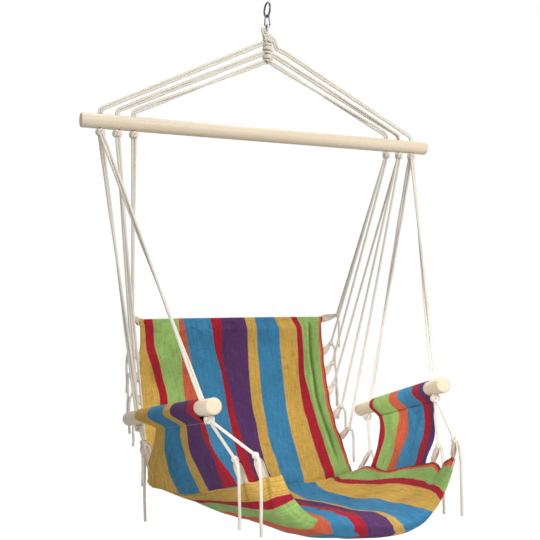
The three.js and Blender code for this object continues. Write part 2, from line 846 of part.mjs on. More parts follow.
// Assembly
addPiece('hanging_ring', hangingRing(), 'steel');
addPiece('rope_link', ropeLink(), 'steel');
addPiece('rope_eye', ropeEye(), 'rope');
addPiece('eye_lashing', eyeLashing(), 'rope');
addPiece('spreader_bar', spreaderBar(0), 'wood');
addPiece('seat_sling', sling, 'cloth');
for (const [name, side] of sides) {
  for (const n of holeShift) {
    addPiece(`fan_rope_${name}_${holeNames[n]}`, fanRope(side, n), 'rope');
  }
  addPiece(`arm_dowel_${name}`, armDowel(side, 0), 'wood');
  addPiece(`side_panel_${name}`, sidePanel(side), 'panel');
  addPiece(`arm_rope_${name}_front`, armRope(side, 'front'), 'rope');
  addPiece(`arm_rope_${name}_rear`, armRope(side, 'rear'), 'rope');
  // the inner hole's strands go to the upper loops, the middle hole's to the lower ones
  for (let n = 0; n < 2 * strandsPerKnot; n += 1) {
    const hole = holeNames.indexOf(n < strandsPerKnot ? 'inner' : 'middle');
    const knot = vec(holeX(side, hole), 0, knotZ);
    const turnShare = 1 / 4 + (n % strandsPerKnot) / strandsPerKnot;
    const start = bunchPoint(knot, side < 0 ? 1 / 2 - turnShare : turnShare);
    addPiece(`back_rope_${name}_${n + 1}`, hangingStrand(side, start, knot, n), 'rope');
  }
  const rearKnot = armKnotPoint(side, 'rear');
  addPiece(`rear_strand_${name}`, hangingStrand(side, rearKnot, rearKnot, 6), 'rope');
  const frontKnot = armKnotPoint(side, 'front');
  for (const n of [7, 8]) {
    const step = n === 7 ? 1 : -1;
    const start = frontKnot.clone().add(vec(0, step * (ropeDiameter / 2 + gap), 0));
    addPiece(
      `front_strand_${name}_${n - 6}`,
      hangingStrand(side, start, frontKnot, n),
      'rope',
    );
  }
  for (let n = 0; n < loopShares[side].length; n += 1) {
    addPiece(`loop_${name}_${n + 1}`, ribbonLoop(side, n), 'ribbon');
  }
}

export default chair;
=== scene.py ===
# %% [markdown]
# A hammock chair, built around a fixed model of its solid parts. The chair is a
# padded, striped cloth sling that hangs by cotton ropes from a wooden bar, and the
# bar hangs by a fan of ropes from one steel ring. Each step below first says what
# a piece is on the real chair, then makes it, and prints what it made.

# %% Load the fixed model
import bmesh
import bpy
import math
import numpy as np
from mathutils import Matrix, Vector, noise


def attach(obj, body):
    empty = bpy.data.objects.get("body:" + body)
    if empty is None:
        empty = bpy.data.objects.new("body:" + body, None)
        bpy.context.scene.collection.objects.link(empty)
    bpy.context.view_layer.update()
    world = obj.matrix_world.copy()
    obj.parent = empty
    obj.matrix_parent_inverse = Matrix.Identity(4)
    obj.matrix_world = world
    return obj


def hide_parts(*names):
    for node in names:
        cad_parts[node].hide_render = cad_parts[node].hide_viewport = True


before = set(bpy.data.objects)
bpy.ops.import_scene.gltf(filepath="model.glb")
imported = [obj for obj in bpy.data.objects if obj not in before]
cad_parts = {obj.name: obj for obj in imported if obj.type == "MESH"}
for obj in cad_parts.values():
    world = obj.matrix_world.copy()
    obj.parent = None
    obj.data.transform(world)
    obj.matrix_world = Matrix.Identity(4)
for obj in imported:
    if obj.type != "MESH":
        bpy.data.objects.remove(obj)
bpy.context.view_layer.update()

MM = 0.001
FULL_TURN = 2 * math.pi
SIDES = (("left", -1), ("right", 1))


def placed(name, data):
    """An object for the data, in the scene."""
    obj = bpy.data.objects.new(name, data)
    bpy.context.scene.collection.objects.link(obj)
    return obj


def stand_in(piece, node, body="seat"):
    """Shows the piece in place of a solid part and lets it ride on a body."""
    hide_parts(node)
    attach(piece, body)
    return piece


# %% [markdown]
# The camera stands to the left of the chair and a little above its armrests. Its
# place and lens were worked out from the photograph: the rope holes, dowel ends
# and sling corners of the two sides mirror each other, which fixes where it stood.

# %% Camera
BAR_Z = -346.0  # millimetres below the hanging point
CAMERA_AT = Vector((-812.3, -1873.3, -456.2 + BAR_Z)) * MM
FOCAL_PIXELS, PICTURE_PIXELS = 800, 540


def camera_axes(yaw, pitch, roll):
    yaw, pitch, roll = (math.radians(a) for a in (yaw, pitch, roll))
    forward = Vector((math.sin(yaw) * math.cos(pitch), math.cos(yaw) * math.cos(pitch), math.sin(pitch)))
    level = Vector((math.cos(yaw), -math.sin(yaw), 0))
    upright = level.cross(forward)
    right = level * math.cos(roll) + upright * math.sin(roll)
    up = -level * math.sin(roll) + upright * math.cos(roll)
    return right, up, -forward


lens = bpy.data.cameras.new("photo_camera")
lens.sensor_width = 36
lens.lens = FOCAL_PIXELS / PICTURE_PIXELS * lens.sensor_width
lens.clip_end = 60
camera = placed("photo_camera", lens)
turn = Matrix(camera_axes(yaw=23.43, pitch=3.05, roll=-0.67)).transposed()
camera.matrix_world = Matrix.Translation(CAMERA_AT) @ turn.to_4x4()
bpy.context.scene.camera = camera
bpy.context.scene.view_settings.view_transform = "Standard"
print("camera at", [round(c, 3) for c in CAMERA_AT], "lens", round(lens.lens, 2), "mm")

# %% [markdown]
# Materials are graphs of nodes, and so are the rules that grow rope and stitches.
# Writing them as sums is easier to read, so a small class wraps a socket: adding or
# multiplying two of them adds the Math node that does it. Colours go through Mix and
# Vector Math nodes instead, because Math would turn them grey.


# %% Node graphs written as sums
class Wire:
    def __init__(self, graph, socket):
        self.graph = graph
        self.socket = socket

    def maths(self, operation, *values):
        slots = {f"v{n}": value for n, value in enumerate(values)}
        return self.graph.node("ShaderNodeMath", {"operation": operation}, **slots)

    def __add__(self, other):
        return self.maths("ADD", self, other)

    def __radd__(self, other):
        return self.maths("ADD", other, self)

    def __sub__(self, other):
        return self.maths("SUBTRACT", self, other)

    def __rsub__(self, other):
        return self.maths("SUBTRACT", other, self)

    def __mul__(self, other):
        return self.maths("MULTIPLY", self, other)

    def __rmul__(self, other):
        return self.maths("MULTIPLY", other, self)

    def __truediv__(self, other):
        return self.maths("DIVIDE", self, other)

    def __rtruediv__(self, other):
        return self.maths("DIVIDE", other, self)

    def wave(self):
        return self.maths("SINE", self)

    def size(self):
        return self.maths("ABSOLUTE", self)

    def held(self):
        """The value, kept from 0 to 1."""
        return self.maths("MINIMUM", self.maths("MAXIMUM", self, 0.0), 1.0)


class Graph:
    """A node tree. All its nodes come from one method."""

    def __init__(self, tree):
        self.tree = tree

    def fill(self, node, sockets):
        """Sets or links sockets, each by its name, or by its number after a v."""
        for key, value in sockets.items():
            slot = node.inputs[int(key[1:])] if key[1:].isdigit() else node.inputs[key.replace("_", " ")]
            if isinstance(value, Wire):
                self.tree.links.new(value.socket, slot)
            else:
                slot.default_value = value

    def node(self, kind, settings=None, output=0, **sockets):
        node = self.tree.nodes.new(kind)
        for key, value in (settings or {}).items():
            setattr(node, key, value)
        self.fill(node, sockets)
        return Wire(self, node.outputs[output]) if node.outputs else None

    def axes(self, vector):
        split = self.node("ShaderNodeSeparateXYZ", v0=vector).socket.node
        return [Wire(self, out) for out in split.outputs]

    def vector(self, x, y, z):
        return self.node("ShaderNodeCombineXYZ", X=x, Y=y, Z=z)

    def scaled(self, vector, factor):
        """A vector, or a colour's brightness, multiplied by a number."""
        return self.node("ShaderNodeVectorMath", {"operation": "SCALE"}, v0=vector, Scale=factor)


class Finish(Graph):
    """One material, its shader and the nodes that feed it."""

    def __init__(self, name, **constants):
        self.material = bpy.data.materials.new(name)
        self.material.use_nodes = True
        super().__init__(self.material.node_tree)
        self.shader = next(n for n in self.tree.nodes if n.type == "BSDF_PRINCIPLED")
        self.feed(**constants)

    def feed(self, **sockets):
        self.fill(self.shader, sockets)

    def place(self):
        return self.node("ShaderNodeTexCoord", output="Object")

    def stored(self, name, output="Fac"):
        return self.node("ShaderNodeAttribute", {"attribute_name": name}, output=output)

    def noise(self, vector, scale=1.0, detail=3.0, rough=0.5):
        return self.node("ShaderNodeTexNoise", Vector=vector, Scale=scale, Detail=detail, Roughness=rough)

    def blend(self, share, first, second):
        """A colour between two colours, by share."""
        first, second = ((*c, 1.0) if isinstance(c, tuple) else c for c in (first, second))
        return self.node("ShaderNodeMix", {"data_type": "RGBA"}, output=2, v0=share, v6=first, v7=second)

    def bump(self, height, distance, strength):
        self.feed(Normal=self.node("ShaderNodeBump", Height=height, Distance=distance, Strength=strength))


def srgb(r, g, b):
    """A colour as read from a picture, 0 to 255, in the renderer's linear light."""
    return tuple((c / 255 / 12.92) if c / 255 <= 0.04045 else ((c / 255 + 0.055) / 1.055) ** 2.4
                 for c in (r, g, b))


print("node helpers ready")

# %% [markdown]
# The rope is soft three-strand cotton. Its colour is warm cream, with painted shade
# in the grooves between the strands, and fine fibres that run round with the twist.
# The rope's mesh carries three attributes: how far along it a point is, the
# direction round it, and how deep in a groove it lies. The fibres follow the first
# two, so they turn with every bend, and the painted shade follows the third.

# %% Rope cotton
ROPE = 6.5
ROPE_RADIUS = ROPE / 2
TWIST = 21.0  # millimetres for one full turn of the strands
LOBE_DEPTH = 0.09  # how far the grooves go in, as a share of the radius
FLUFF = 1.07  # loose fibres stand a little proud of the rope's nominal size
ROPE_STEP = 2.4  # between two sections of a rope's mesh

cotton = Finish("rope_cotton", Roughness=0.92, Sheen_Weight=0.45, Sheen_Roughness=0.6)
rope_along = cotton.stored("along") * 1000.0
round_x, round_y, _ = cotton.axes(cotton.stored("around", "Vector"))
fibre = (round_y.maths("ARCTAN2", round_y, round_x) * 17.0 + rope_along * 2.9).wave()
fleck = cotton.noise(cotton.place(), 420.0, detail=4.0)
patch = cotton.noise(cotton.place(), 38.0, detail=2.0)
cream = cotton.blend(patch, srgb(252, 246, 233), srgb(246, 237, 219))
# painted shade: the cream darkens towards the bottom of each groove between the strands
cream = cotton.blend((cotton.stored("groove") * 0.2).held(), cream, srgb(206, 188, 162))
cotton.feed(Base_Color=cotton.scaled(cream, 0.97 + fleck * 0.1 + fibre * 0.018))
cotton.bump(fibre * 0.5 + fleck * 1.2, 0.00035, 0.8)
print("material:", cotton.material.name)

# %% [markdown]
# A twisted rope is a rule: a three-lobed section that turns as it follows its path.
# Geometry Nodes hold the rule once and every rope uses it. The tree evens out the
# path, tilts it a little more at each step and sweeps the section along it.


# %% The twisted rope as a node tree
class Growth(Graph):
    """A Geometry Nodes tree whose inputs are numbers, or a material where None is given."""

    def __init__(self, name, **inputs):
        super().__init__(bpy.data.node_groups.new(name, "GeometryNodeTree"))
        add = self.tree.interface.new_socket
        add("Geometry", in_out="INPUT", socket_type="NodeSocketGeometry")
        for label, value in inputs.items():
            kind = "NodeSocketMaterial" if value is None else "NodeSocketFloat"
            socket = add(label, in_out="INPUT", socket_type=kind)
            if value is not None:
                socket.default_value = value
        add("Geometry", in_out="OUTPUT", socket_type="NodeSocketGeometry")
        outputs = self.node("NodeGroupInput").socket.node.outputs
        self.given = {label: Wire(self, outputs[label]) for label in ("Geometry", *inputs)}

    def store(self, geometry, name, value, kind="FLOAT"):
        return self.node("GeometryNodeStoreNamedAttribute", {"data_type": kind, "domain": "POINT"},
                         Geometry=geometry, Name=name, Value=value)

    def finish(self, geometry):
        """Makes the geometry real, gives it its material and hands it out."""
        whole = self.node("GeometryNodeRealizeInstances", Geometry=geometry)
        painted = self.node("GeometryNodeSetMaterial", Geometry=whole, Material=self.given["Finish"])
        self.node("NodeGroupOutput", Geometry=painted)


twisted_rope = Growth("twisted_rope", Radius=ROPE_RADIUS * MM, Twist=TWIST * MM, Step=ROPE_STEP * MM,
                      Finish=None)
given = twisted_rope.given
even = twisted_rope.node("GeometryNodeResampleCurve", {"mode": "LENGTH"},
                         Curve=given["Geometry"], Length=given["Step"])
travelled = twisted_rope.node("GeometryNodeSplineParameter", output="Length")
path = twisted_rope.store(even, "along", travelled)
path = twisted_rope.node("GeometryNodeSetCurveTilt", Curve=path, Tilt=travelled / given["Twist"] * FULL_TURN)
section = twisted_rope.node("GeometryNodeCurvePrimitiveCircle", Resolution=12, Radius=given["Radius"])
place = twisted_rope.node("GeometryNodeInputPosition")
x, y, _ = twisted_rope.axes(place)
strand_angle = y.maths("ARCTAN2", y, x) * 3.0
depth = (1.0 - strand_angle.maths("COSINE", strand_angle)) * 0.5
outline = twisted_rope.store(section, "groove", depth)
outline = twisted_rope.store(outline, "around", place, "FLOAT_VECTOR")
outline = twisted_rope.node("GeometryNodeSetPosition", Geometry=outline,
                            Position=twisted_rope.scaled(place, 1.0 - depth * LOBE_DEPTH))
swept = twisted_rope.node("GeometryNodeCurveToMesh", Curve=path, Profile_Curve=outline, Fill_Caps=True)
twisted_rope.finish(twisted_rope.node("GeometryNodeSetShadeSmooth", Geometry=swept))
print("node tree:", twisted_rope.tree.name, "with", len(twisted_rope.tree.nodes), "nodes")

# %% [markdown]
# A modifier's inputs are set by the socket's identifier, then the evaluated result
# is copied into a plain mesh and the modifier goes. Paths are given in millimetres,
# as rows of points, and several paths may make one piece, as a doubled rope does.


# %% From paths to a finished mesh
def curve_of(name, paths):
    data = bpy.data.curves.new(name, "CURVE")
    data.dimensions = "3D"
    data.twist_mode = "MINIMUM"
    for points in paths:
        spline = data.splines.new("POLY")
        spline.points.add(len(points) - 1)
        for knob, p in zip(spline.points, points):
            knob.co = (p[0] * MM, p[1] * MM, p[2] * MM, 1)
    return placed(name, data)


def evaluated_mesh(obj):
    """What the object's modifiers make of it, as a plain mesh."""
    bpy.context.view_layer.update()
    graph = bpy.context.evaluated_depsgraph_get()
    return bpy.data.meshes.new_from_object(obj.evaluated_get(graph), depsgraph=graph)


def grown(name, paths, growth, **inputs):
    """The plain mesh that a rule makes along some paths."""
    source = curve_of(name + "_path", paths)
    modifier = source.modifiers.new(name, "NODES")
    modifier.node_group = growth.tree
    for socket in growth.tree.interface.items_tree:
        if socket.in_out == "INPUT" and socket.name in inputs:
            modifier[socket.identifier] = inputs[socket.name]
    mesh = evaluated_mesh(source)
    mesh.name = name
    bpy.data.objects.remove(source)
    return placed(name, mesh)


def rope_piece(name, paths):
    return grown(name, paths, twisted_rope, Radius=ROPE_RADIUS * FLUFF * MM, Finish=cotton.material)


def extended(points):
    """The points, with one more at each end that carries the line straight on."""
    p = np.array(points, float)
    return np.vstack([2 * p[0] - p[1], p, 2 * p[-1] - p[-2]])


def smooth_path(points, step=4.0):
    """A smooth curve through points, in even steps."""
    p = extended(points)
    rows = []
    for i in range(1, len(p) - 2):
        a, b, c, d = p[i - 1:i + 3]
        n = max(2, int(np.linalg.norm(c - b) / step))
        for t in np.arange(n) / n:
            rows.append(0.5 * (2 * b + (c - a) * t + (2 * a - 5 * b + 4 * c - d) * t ** 2
                               + (3 * b - a - 3 * c + d) * t ** 3))
    rows.append(p[-2])
    return np.array(rows)


print("rope maker ready")

# %% [markdown]
# Everything hangs from the steel ring, so heights are measured down from it. The
# wooden bar has three rope holes near each end, and each armrest dowel has two.
# The same few lengths place the holes, the knots below them and the dowels. An
# armrest's holes follow the ropes, which slant in from the wider bar above.

# %% Where the wood and the knots are
GAP = 0.3  # between pieces that touch
ROUND_BAR = 17.5  # radius of the bar and of both dowels
BAR_HALF = 480.0
HOLE = 7.25
HOLE_INSET, HOLE_SPACING = 47, 40
ARM_LENGTH, ARM_RISE = 500, 95  # an armrest's front end is higher than its rear end
ARM_SPREAD = {"rear": 334, "front": 276}
ARM_DROP, ARM_REACH = 633, 350
ARM_UNEVEN = 8.5  # the two were tied by hand, so one tilts more
ARM_HOLE = {"rear": 66.0, "front": 452.0}  # along the dowel from its rear end
KNOT, KNOT_PRESS = 12.0, 1.0
KNOT_DROP = math.sqrt(KNOT ** 2 - HOLE ** 2) - KNOT_PRESS  # a knot's centre below the wood it presses on
KNOT_Z = BAR_Z - ROUND_BAR - KNOT_DROP


def vec(x, y, z):
    return np.array((x, y, z), float)


def unit(v):
    return v / np.linalg.norm(v)


def units(rows):
    return rows / np.linalg.norm(rows, axis=-1)[..., None]


def run_along(path):
    """How far along a path each of its points is."""
    return np.concatenate([[0], np.cumsum(np.linalg.norm(np.diff(path, axis=0), axis=1))])


def hole_x(side, n):
    return side * (BAR_HALF - HOLE_INSET - n * HOLE_SPACING)


def bar_knot(side, n):
    return vec(hole_x(side, n), 0, KNOT_Z)


def arm_ends(side):
    run = math.sqrt(ARM_LENGTH ** 2 - ARM_RISE ** 2 - (ARM_SPREAD["rear"] - ARM_SPREAD["front"]) ** 2)
    front = vec(side * ARM_SPREAD["front"], -ARM_REACH, BAR_Z - ARM_DROP + side * ARM_UNEVEN)
    rear = vec(side * ARM_SPREAD["rear"], run - ARM_REACH, BAR_Z - ARM_DROP - ARM_RISE - side * ARM_UNEVEN)
    return rear, front


def arm_hole(side, end):
    """A hole's middle, which way its rope runs, and how squarely that meets the dowel."""
    rear, front = arm_ends(side)
    middle = rear + (front - rear) * ARM_HOLE[end] / ARM_LENGTH
    way = unit(middle - bar_knot(side, 0))
    return middle, way, float(np.linalg.norm(np.cross(way, unit(front - rear))))


def arm_knot(side, end):
    middle, way, squareness = arm_hole(side, end)
    return middle + way * (ROUND_BAR + KNOT_DROP) / squareness


for label, side in SIDES:
    print(label, "holes at", [hole_x(side, n) for n in range(3)], "dowel from", arm_ends(side)[0].round(1))

# %% [markdown]
# The sling's edges and its middle line are smooth curves through measured stations.
# The curve below passes through its points without swinging out between them, and
# it is the same one that the solid model uses, so both agree to the millimetre.


# %% The sling's three guiding lines
def through(points):
    """A centripetal curve through the points, as a function of a share from 0 to 1."""
    p = extended(points)

    def at(share):
        place = min(max(share, 0.0), 1.0) * (len(p) - 3)
        n = min(int(place), len(p) - 4)
        w = place - n
        a, b, c, d = p[n:n + 4]
        ta, tb, tc = (math.sqrt(np.linalg.norm(v)) for v in (b - a, c - b, d - c))
        start = ((b - a) / ta - (c - a) / (ta + tb) + (c - b) / tb) * tb
        stop = ((c - b) / tb - (d - b) / (tb + tc) + (d - c) / tc) * tb
        return (b + start * w + (3 * (c - b) - 2 * start - stop) * w ** 2
                + (2 * (b - c) + start + stop) * w ** 3)

    return at


HALF_WIDTH, BACK_REACH, FRONT_REACH = 278.0, 262.0, 428.0
TOP_DROP, SLING_HEIGHT, PAD = 470.0, 468.0, 70.0
# reach, drop and thickness as shares, then how far the seat leans over to the right
MIDDLE = ((1, 0, .1, 0), (1.04, .06, .5, 0), (1.085, .26, .64, 0), (1.05, .47, .68, 0), (.89, .665, .66, 0),
          (.59, .83, .54, 0), (.23, .935, .2, 0), (-.05, .975, .52, 0), (-.28, .985, .74, .02),
          (-.51, .96, .82, .05), (-.75, .938, .8, .08), (-.9, .917, .76, .11), (-.975, .908, .56, .13),
          (-1, .906, .1, .13))
# half width, reach and drop as shares
EDGE = {
    -1: ((1, .98, 0), (1, .975, .06), (.998, .94, .26), (1, .86, .47), (1.02, .72, .66), (1.05, .5, .79),
         (1.06, .3, .855), (1.035, 0, .842), (1, -.22, .83), (.95, -.47, .79), (.9, -.7, .735),
         (.84, -.865, .697), (.72, -.96, .66), (.6, -1, .635)),
    1: ((1, .98, 0), (1, .975, .06), (.996, .94, .26), (.993, .83, .47), (.989, .65, .66), (.978, .4, .8),
        (.964, .22, .9), (.986, -.01, .845), (.996, -.22, .838), (.996, -.47, .774), (.978, -.7, .722),
        (.95, -.865, .684), (.935, -.93, .662), (.928, -.953, .658)),
}


def reach_at(share):
    return share * (BACK_REACH if share > 0 else FRONT_REACH)


def drop_at(share):
    return BAR_Z - TOP_DROP - share * SLING_HEIGHT


middle_line = through([vec(0, reach_at(r), drop_at(d)) for r, d, _, _ in MIDDLE])
edge_line = {side: through([vec(side * w * HALF_WIDTH, reach_at(r), drop_at(d)) for w, r, d in EDGE[side]])
             for _, side in SIDES}
# each loop: its share along the edge, its pull out, forward and up, and its length
LOOPS = {
    -1: ((.02, .62, .68, .4, 1), (.14, .68, .09, .73, 1), (.185, .67, .05, .74, .98),
         (.23, .66, -.07, .75, .92), (.285, .48, .53, .7, 1.05), (.34, .14, .85, .52, 1.3),
         (.5, .25, -.05, .96, 3.05), (.865, .25, -.35, .9, 1.45), (.93, .4, .1, .95, 1.42)),
    1: ((.02, .75, .6, .25, 1.35), (.14, .68, .1, .72, 1), (.185, .68, -.02, .72, 1), (.23, .68, -.3, .7, 1),
        (.285, .68, .1, .73, 1), (.34, .6, .45, .73, 1), (.49, .5, .2, .9, 1.75), (.775, .2, .3, .95, 1.25),
        (.93, .12, 0, .97, 1.15)),
}
LOOP_LENGTH = 34
UPPER_LOOPS = 6  # these hang from the bar, the other three from the dowel


def loop_knot(side, n):
    along, out, forward, up, share = LOOPS[side][n]
    return edge_line[side](along) + unit(vec(side * out, -forward, up)) * share * LOOP_LENGTH


print("sling edge corners:", edge_line[-1](0).round(), edge_line[1](1).round())

# %% [markdown]
# A knot is one strand that crosses itself. Its centre line is a trefoil, a curve
# that can be written with a few sines, opened where the rope comes in and leaves.
# A doubled rope ties both of its strands, so it follows two turned copies.

# %% Knots and pairs of strands
KNOT_DEPTH = 5.2
PAIR_HALF = 3.1  # from the middle of a doubled rope to each strand's middle
PAIR_SWAY, SWAY_LENGTH, SWAY_EASE = 0.35, 23, 60  # the strands part a little between their ends
STRAND_OFF = 3.55  # from a knot's middle to each strand that leaves it


def trefoil(centre, radius, depth, turn=0.0, lean=None):
    t = np.linspace(0.35, FULL_TURN - 0.35, 34)
    k = (radius - ROPE_RADIUS) / 3
    rows = np.stack([k * (np.sin(t) + 2 * np.sin(2 * t)), k * (np.cos(t) - 2 * np.cos(2 * t)),
                     -depth * np.sin(3 * t)], axis=1)
    spin = Matrix.Rotation(turn, 3, "Z")
    if lean is not None:
        spin = Vector((0, 0, 1)).rotation_difference(Vector(lean)).to_matrix() @ spin
    return rows @ np.array(spin).T + centre


def side_by_side(line, turns):
    """Two strands beside a line, the pair slowly turning about it."""
    facing = vec(0, 1, 0)
    tangent = units(np.gradient(line, axis=0))
    up = units(facing - (tangent @ facing)[:, None] * tangent)
    across = np.cross(up, tangent)
    run = run_along(line)
    ease = np.clip(np.minimum(run, run[-1] - run) / SWAY_EASE, 0, 1)
    angle = turns * FULL_TURN * run / run[-1]
    shift = np.cos(angle)[:, None] * across + np.sin(angle)[:, None] * up
    apart = PAIR_HALF + ease * PAIR_SWAY * (1 + np.sin(run / SWAY_LENGTH))
    return line + shift * apart[:, None], line - shift * apart[:, None]


def doubled_rope(name, line, turns, knot, knot_turns):
    """A doubled rope along a line, with both strands tied into one knot."""
    return rope_piece(name, [smooth_path(np.vstack([strand, trefoil(knot, KNOT, KNOT_DEPTH, turn)]), 2.4)
                             for strand, turn in zip(side_by_side(line, turns), knot_turns)])


def straight(a, b, step=6.0):
    n = max(2, int(np.linalg.norm(b - a) / step) + 1)
    return a + (b - a) * np.linspace(0, 1, n)[:, None]


print("knot path of", len(trefoil(vec(0, 0, 0), KNOT, KNOT_DEPTH)), "points")

# %% [markdown]
# At the top a bight of rope goes round the steel link, and its two legs run down
# inside the lashing. A loose end makes a small loop on the left before it is bound
# in, which is the bulge beside the link. The lashing winds round the legs by hand,
# so its turns lean a little, and no two lean alike.

# %% Rope eye and lashing
RING_WIRE, LINK_WIRE = 2.5, 2.0  # radius of each wire
RING_R, LINK_BOTTOM_R = 18.5, 7.0
LINK_HEIGHT = 36
LASH_TOP, LASH_HEIGHT = 77.0, 81.0
WINDS, WIND_STEPS = 10, 24
link_top_r = RING_WIRE + LINK_WIRE + GAP
sway_z = RING_WIRE - 2 * RING_R
swing_z = sway_z + link_top_r + 2 * LINK_WIRE - LINK_HEIGHT
leg = (ROPE + GAP) / 2
bight_r = LINK_WIRE + ROPE_RADIUS + GAP
lash_r = leg + ROPE + GAP

leg_heights = (-LASH_TOP - LASH_HEIGHT, -LASH_TOP - 40, -LASH_TOP)
bight = [vec(0, leg, z) for z in leg_heights]
bight += [vec(0, bight_r * math.cos(a), swing_z + bight_r * math.sin(a)) for a in np.linspace(0, math.pi, 7)]
bight += [vec(0, -leg, z) for z in reversed(leg_heights)]
side_loop = ((-5, -6, -104), (-9, -7, -92), (-15, -5, -80), (-17, -3, -71), (-13, -1, -64.5),
             (-7.5, 1, -66), (-6.5, 3, -74), (-8, 5, -84), (-5, 6, -98))
front_tuck = (-7, 4, -72), (-7, -3, -76), (-2, -9, -84), (6, -9.5, -93), (9, -4, -101), (6, 3, -106)
eye_rope = rope_piece("eye_rope", [smooth_path(line, 2.5) for line in (bight, side_loop, front_tuck)])
stand_in(eye_rope, "rope_eye", "hanger")

coil = []
for step in range(WINDS * WIND_STEPS + 1):
    wind = step / WIND_STEPS
    a = wind * FULL_TURN
    lean = 2.0 * math.sin(wind * 1.9) * math.sin(a + 0.8)
    swell = 0.8 * math.sin(wind * 2.3 + 1)
    coil.append(vec((lash_r + swell) * math.cos(a), (lash_r + swell) * math.sin(a),
                    -LASH_TOP - ROPE_RADIUS - wind * (LASH_HEIGHT - ROPE) / WINDS + lean))
lashing_rope = stand_in(rope_piece("lashing_rope", [coil]), "eye_lashing", "hanger")
print("lashing:", WINDS, "turns,", len(lashing_rope.data.polygons), "faces")

# %% [markdown]
# Six doubled ropes fan out from the lashing. Each bends over the bar's top, drops
# through its hole and ends in a knot that carries the bar. The right outer rope
# leaves the lashing in a loose bulge before it pulls straight.

# %% Fan ropes
FAN_ROOT = (.27, .61, .91)
BEND = 14.0
FAN_TURNS = {-1: (0.1, -0.12, 0.55), 1: (-0.1, 0.25, -0.5)}  # how often each pair winds on its way
FAN_KNOT_TURNS = 0.4, 1.5  # how far each strand's knot is turned, in radians
BULGE = (2, -8, -86), (12, -8, -95), (21, -4, -106), (26, -1, -116)


def fan_line(side, n):
    x = hole_x(side, n)
    root = vec(0, 0, -LASH_TOP - FAN_ROOT[n] * LASH_HEIGHT)
    foot = vec(x, 0, BAR_Z + ROUND_BAR + ROPE_RADIUS)
    centre = foot - vec(side * BEND, 0, 0)
    away = root - centre
    turn = math.atan2(away[2], side * away[0]) - math.acos(BEND / np.linalg.norm(away))
    bend = [centre + BEND * vec(side * math.cos(a), 0, math.sin(a)) for a in np.linspace(turn, 0, 6)]
    start = root + unit(bend[0] - root) * 9
    rows = [*straight(start, bend[0]), *bend[1:], *straight(foot, vec(x, 0, KNOT_Z + 6), 4)[1:]]
    if side == 1 and n == 0:
        rows = [*smooth_path([*BULGE, *rows[7:9]]), *rows[9:]]
    return np.array(rows)


for label, side in SIDES:
    for n, hole in enumerate(("outer", "middle", "inner")):
        piece = doubled_rope(f"fan_{label}_{hole}", fan_line(side, n), FAN_TURNS[side][n],
                             bar_knot(side, n), FAN_KNOT_TURNS)
        stand_in(piece, f"fan_rope_{label}_{hole}", "hanger")
print("fan ropes: 6 doubled, last has", len(piece.data.polygons), "faces")

# %% [markdown]
# From the outer knots, doubled ropes run down through the armrest dowels to knots
# below them. Each armrest hangs on two. Their strands lie side by side, not wound.

# %% Armrest ropes
ARM_TURNS = {-1: (0.5, -0.5), 1: (-0.45, 0.5)}
ARM_KNOT_TURNS = 0.9, 2.0
for label, side in SIDES:
    for end, start_off, turns in zip(("front", "rear"), (-STRAND_OFF, STRAND_OFF), ARM_TURNS[side]):
        knot = arm_knot(side, end)
        middle, way, _ = arm_hole(side, end)
        entry = middle - way * (ROUND_BAR + ROPE)
        rows = np.vstack([straight(bar_knot(side, 0) + vec(0, start_off, 0), entry - way * ROPE),
                          straight(entry, knot - way * 6, 4)])
        piece = doubled_rope(f"arm_{label}_{end}", smooth_path(rows, 5), turns, knot, ARM_KNOT_TURNS)
        stand_in(piece, f"arm_rope_{label}_{end}")
print("armrest ropes: 4 doubled")

# %% [markdown]
# Single strands fall from the middle and inner knots to the sling's upper loops, and
# from the dowels' knots to its lower ones. Each ends in a small knot at its loop.
# What is left over hangs down as a tail with a plain cut end. A tail is a free cord,
# so it is a piece of its own, and its length along its route is worked out.

# %% Back ropes, lower strands and their tails
TAIL = 105.0
TAIL_STAND_OFF = 13.0
# each tail: its share of the length, then how far it hangs outward and forward of its knot
TAIL_SHARES = {
    -1: ((1.15, 1, 0), (1.1, 1, 0), (1.05, 1, 0), (1, 1, 0), (.63, 1, 0), (.95, 1, 1.6), (1.7, .5, 2.2),
         (1.24, .3, 2.4), (1.43, -.1, 1.6)),
    1: ((.9, .5, 0), (.6, 1, 0), (1.2, 1, 0), (1, 1, 0), (.75, 1, 0), (.9, 1, 0), (1.15, 1, 0),
        (1.49, 1, -.2), (1.59, 1.25, 0)),
}
LOOP_KNOT, LOOP_KNOT_DEPTH = 8.0, 3.6
BUNCH_R = (ROPE_RADIUS + GAP) * 2 / math.sqrt(3)  # three strands leave a knot in a bunch
BUNCH_PLACES = (1 / 4, 7 / 12, 11 / 12)
tail_lengths = []


def tail_line(side, n):
    share_of_length, out, forward = TAIL_SHARES[side][n]
    knot, length = loop_knot(side, n), TAIL * share_of_length
    beside = vec(side * out, -forward, 0) * TAIL_STAND_OFF
    rows = [knot + beside * .25 - vec(0, 0, 3), knot + beside * .7 - vec(0, 0, 8)]
    for share in (.3, .47, .65, .82, 1):
        sway = 2.4 * math.sin(share * 9 + n * 2.1 + side) * share
        rows.append(knot + beside + vec(sway * 0.7, sway, -length * share))
    return smooth_path(rows)


def hang(name, node, side, n, start):
    knot = loop_knot(side, n)
    tie = trefoil(knot, LOOP_KNOT, LOOP_KNOT_DEPTH, 0.7 * n + side,
                  lean=unit(knot - edge_line[side](LOOPS[side][n][0])))
    taut = np.vstack([straight(start, knot - unit(knot - start) * 9, 8), tie])
    stand_in(rope_piece(name, [smooth_path(taut, 2.6)]), node)
    path = tail_line(side, n)
    tail = rope_piece(name + "_tail", [path])
    length = float(run_along(path)[-1]) * MM
    tail_lengths.append(round(length, 3))
    stand_in(tail, node)


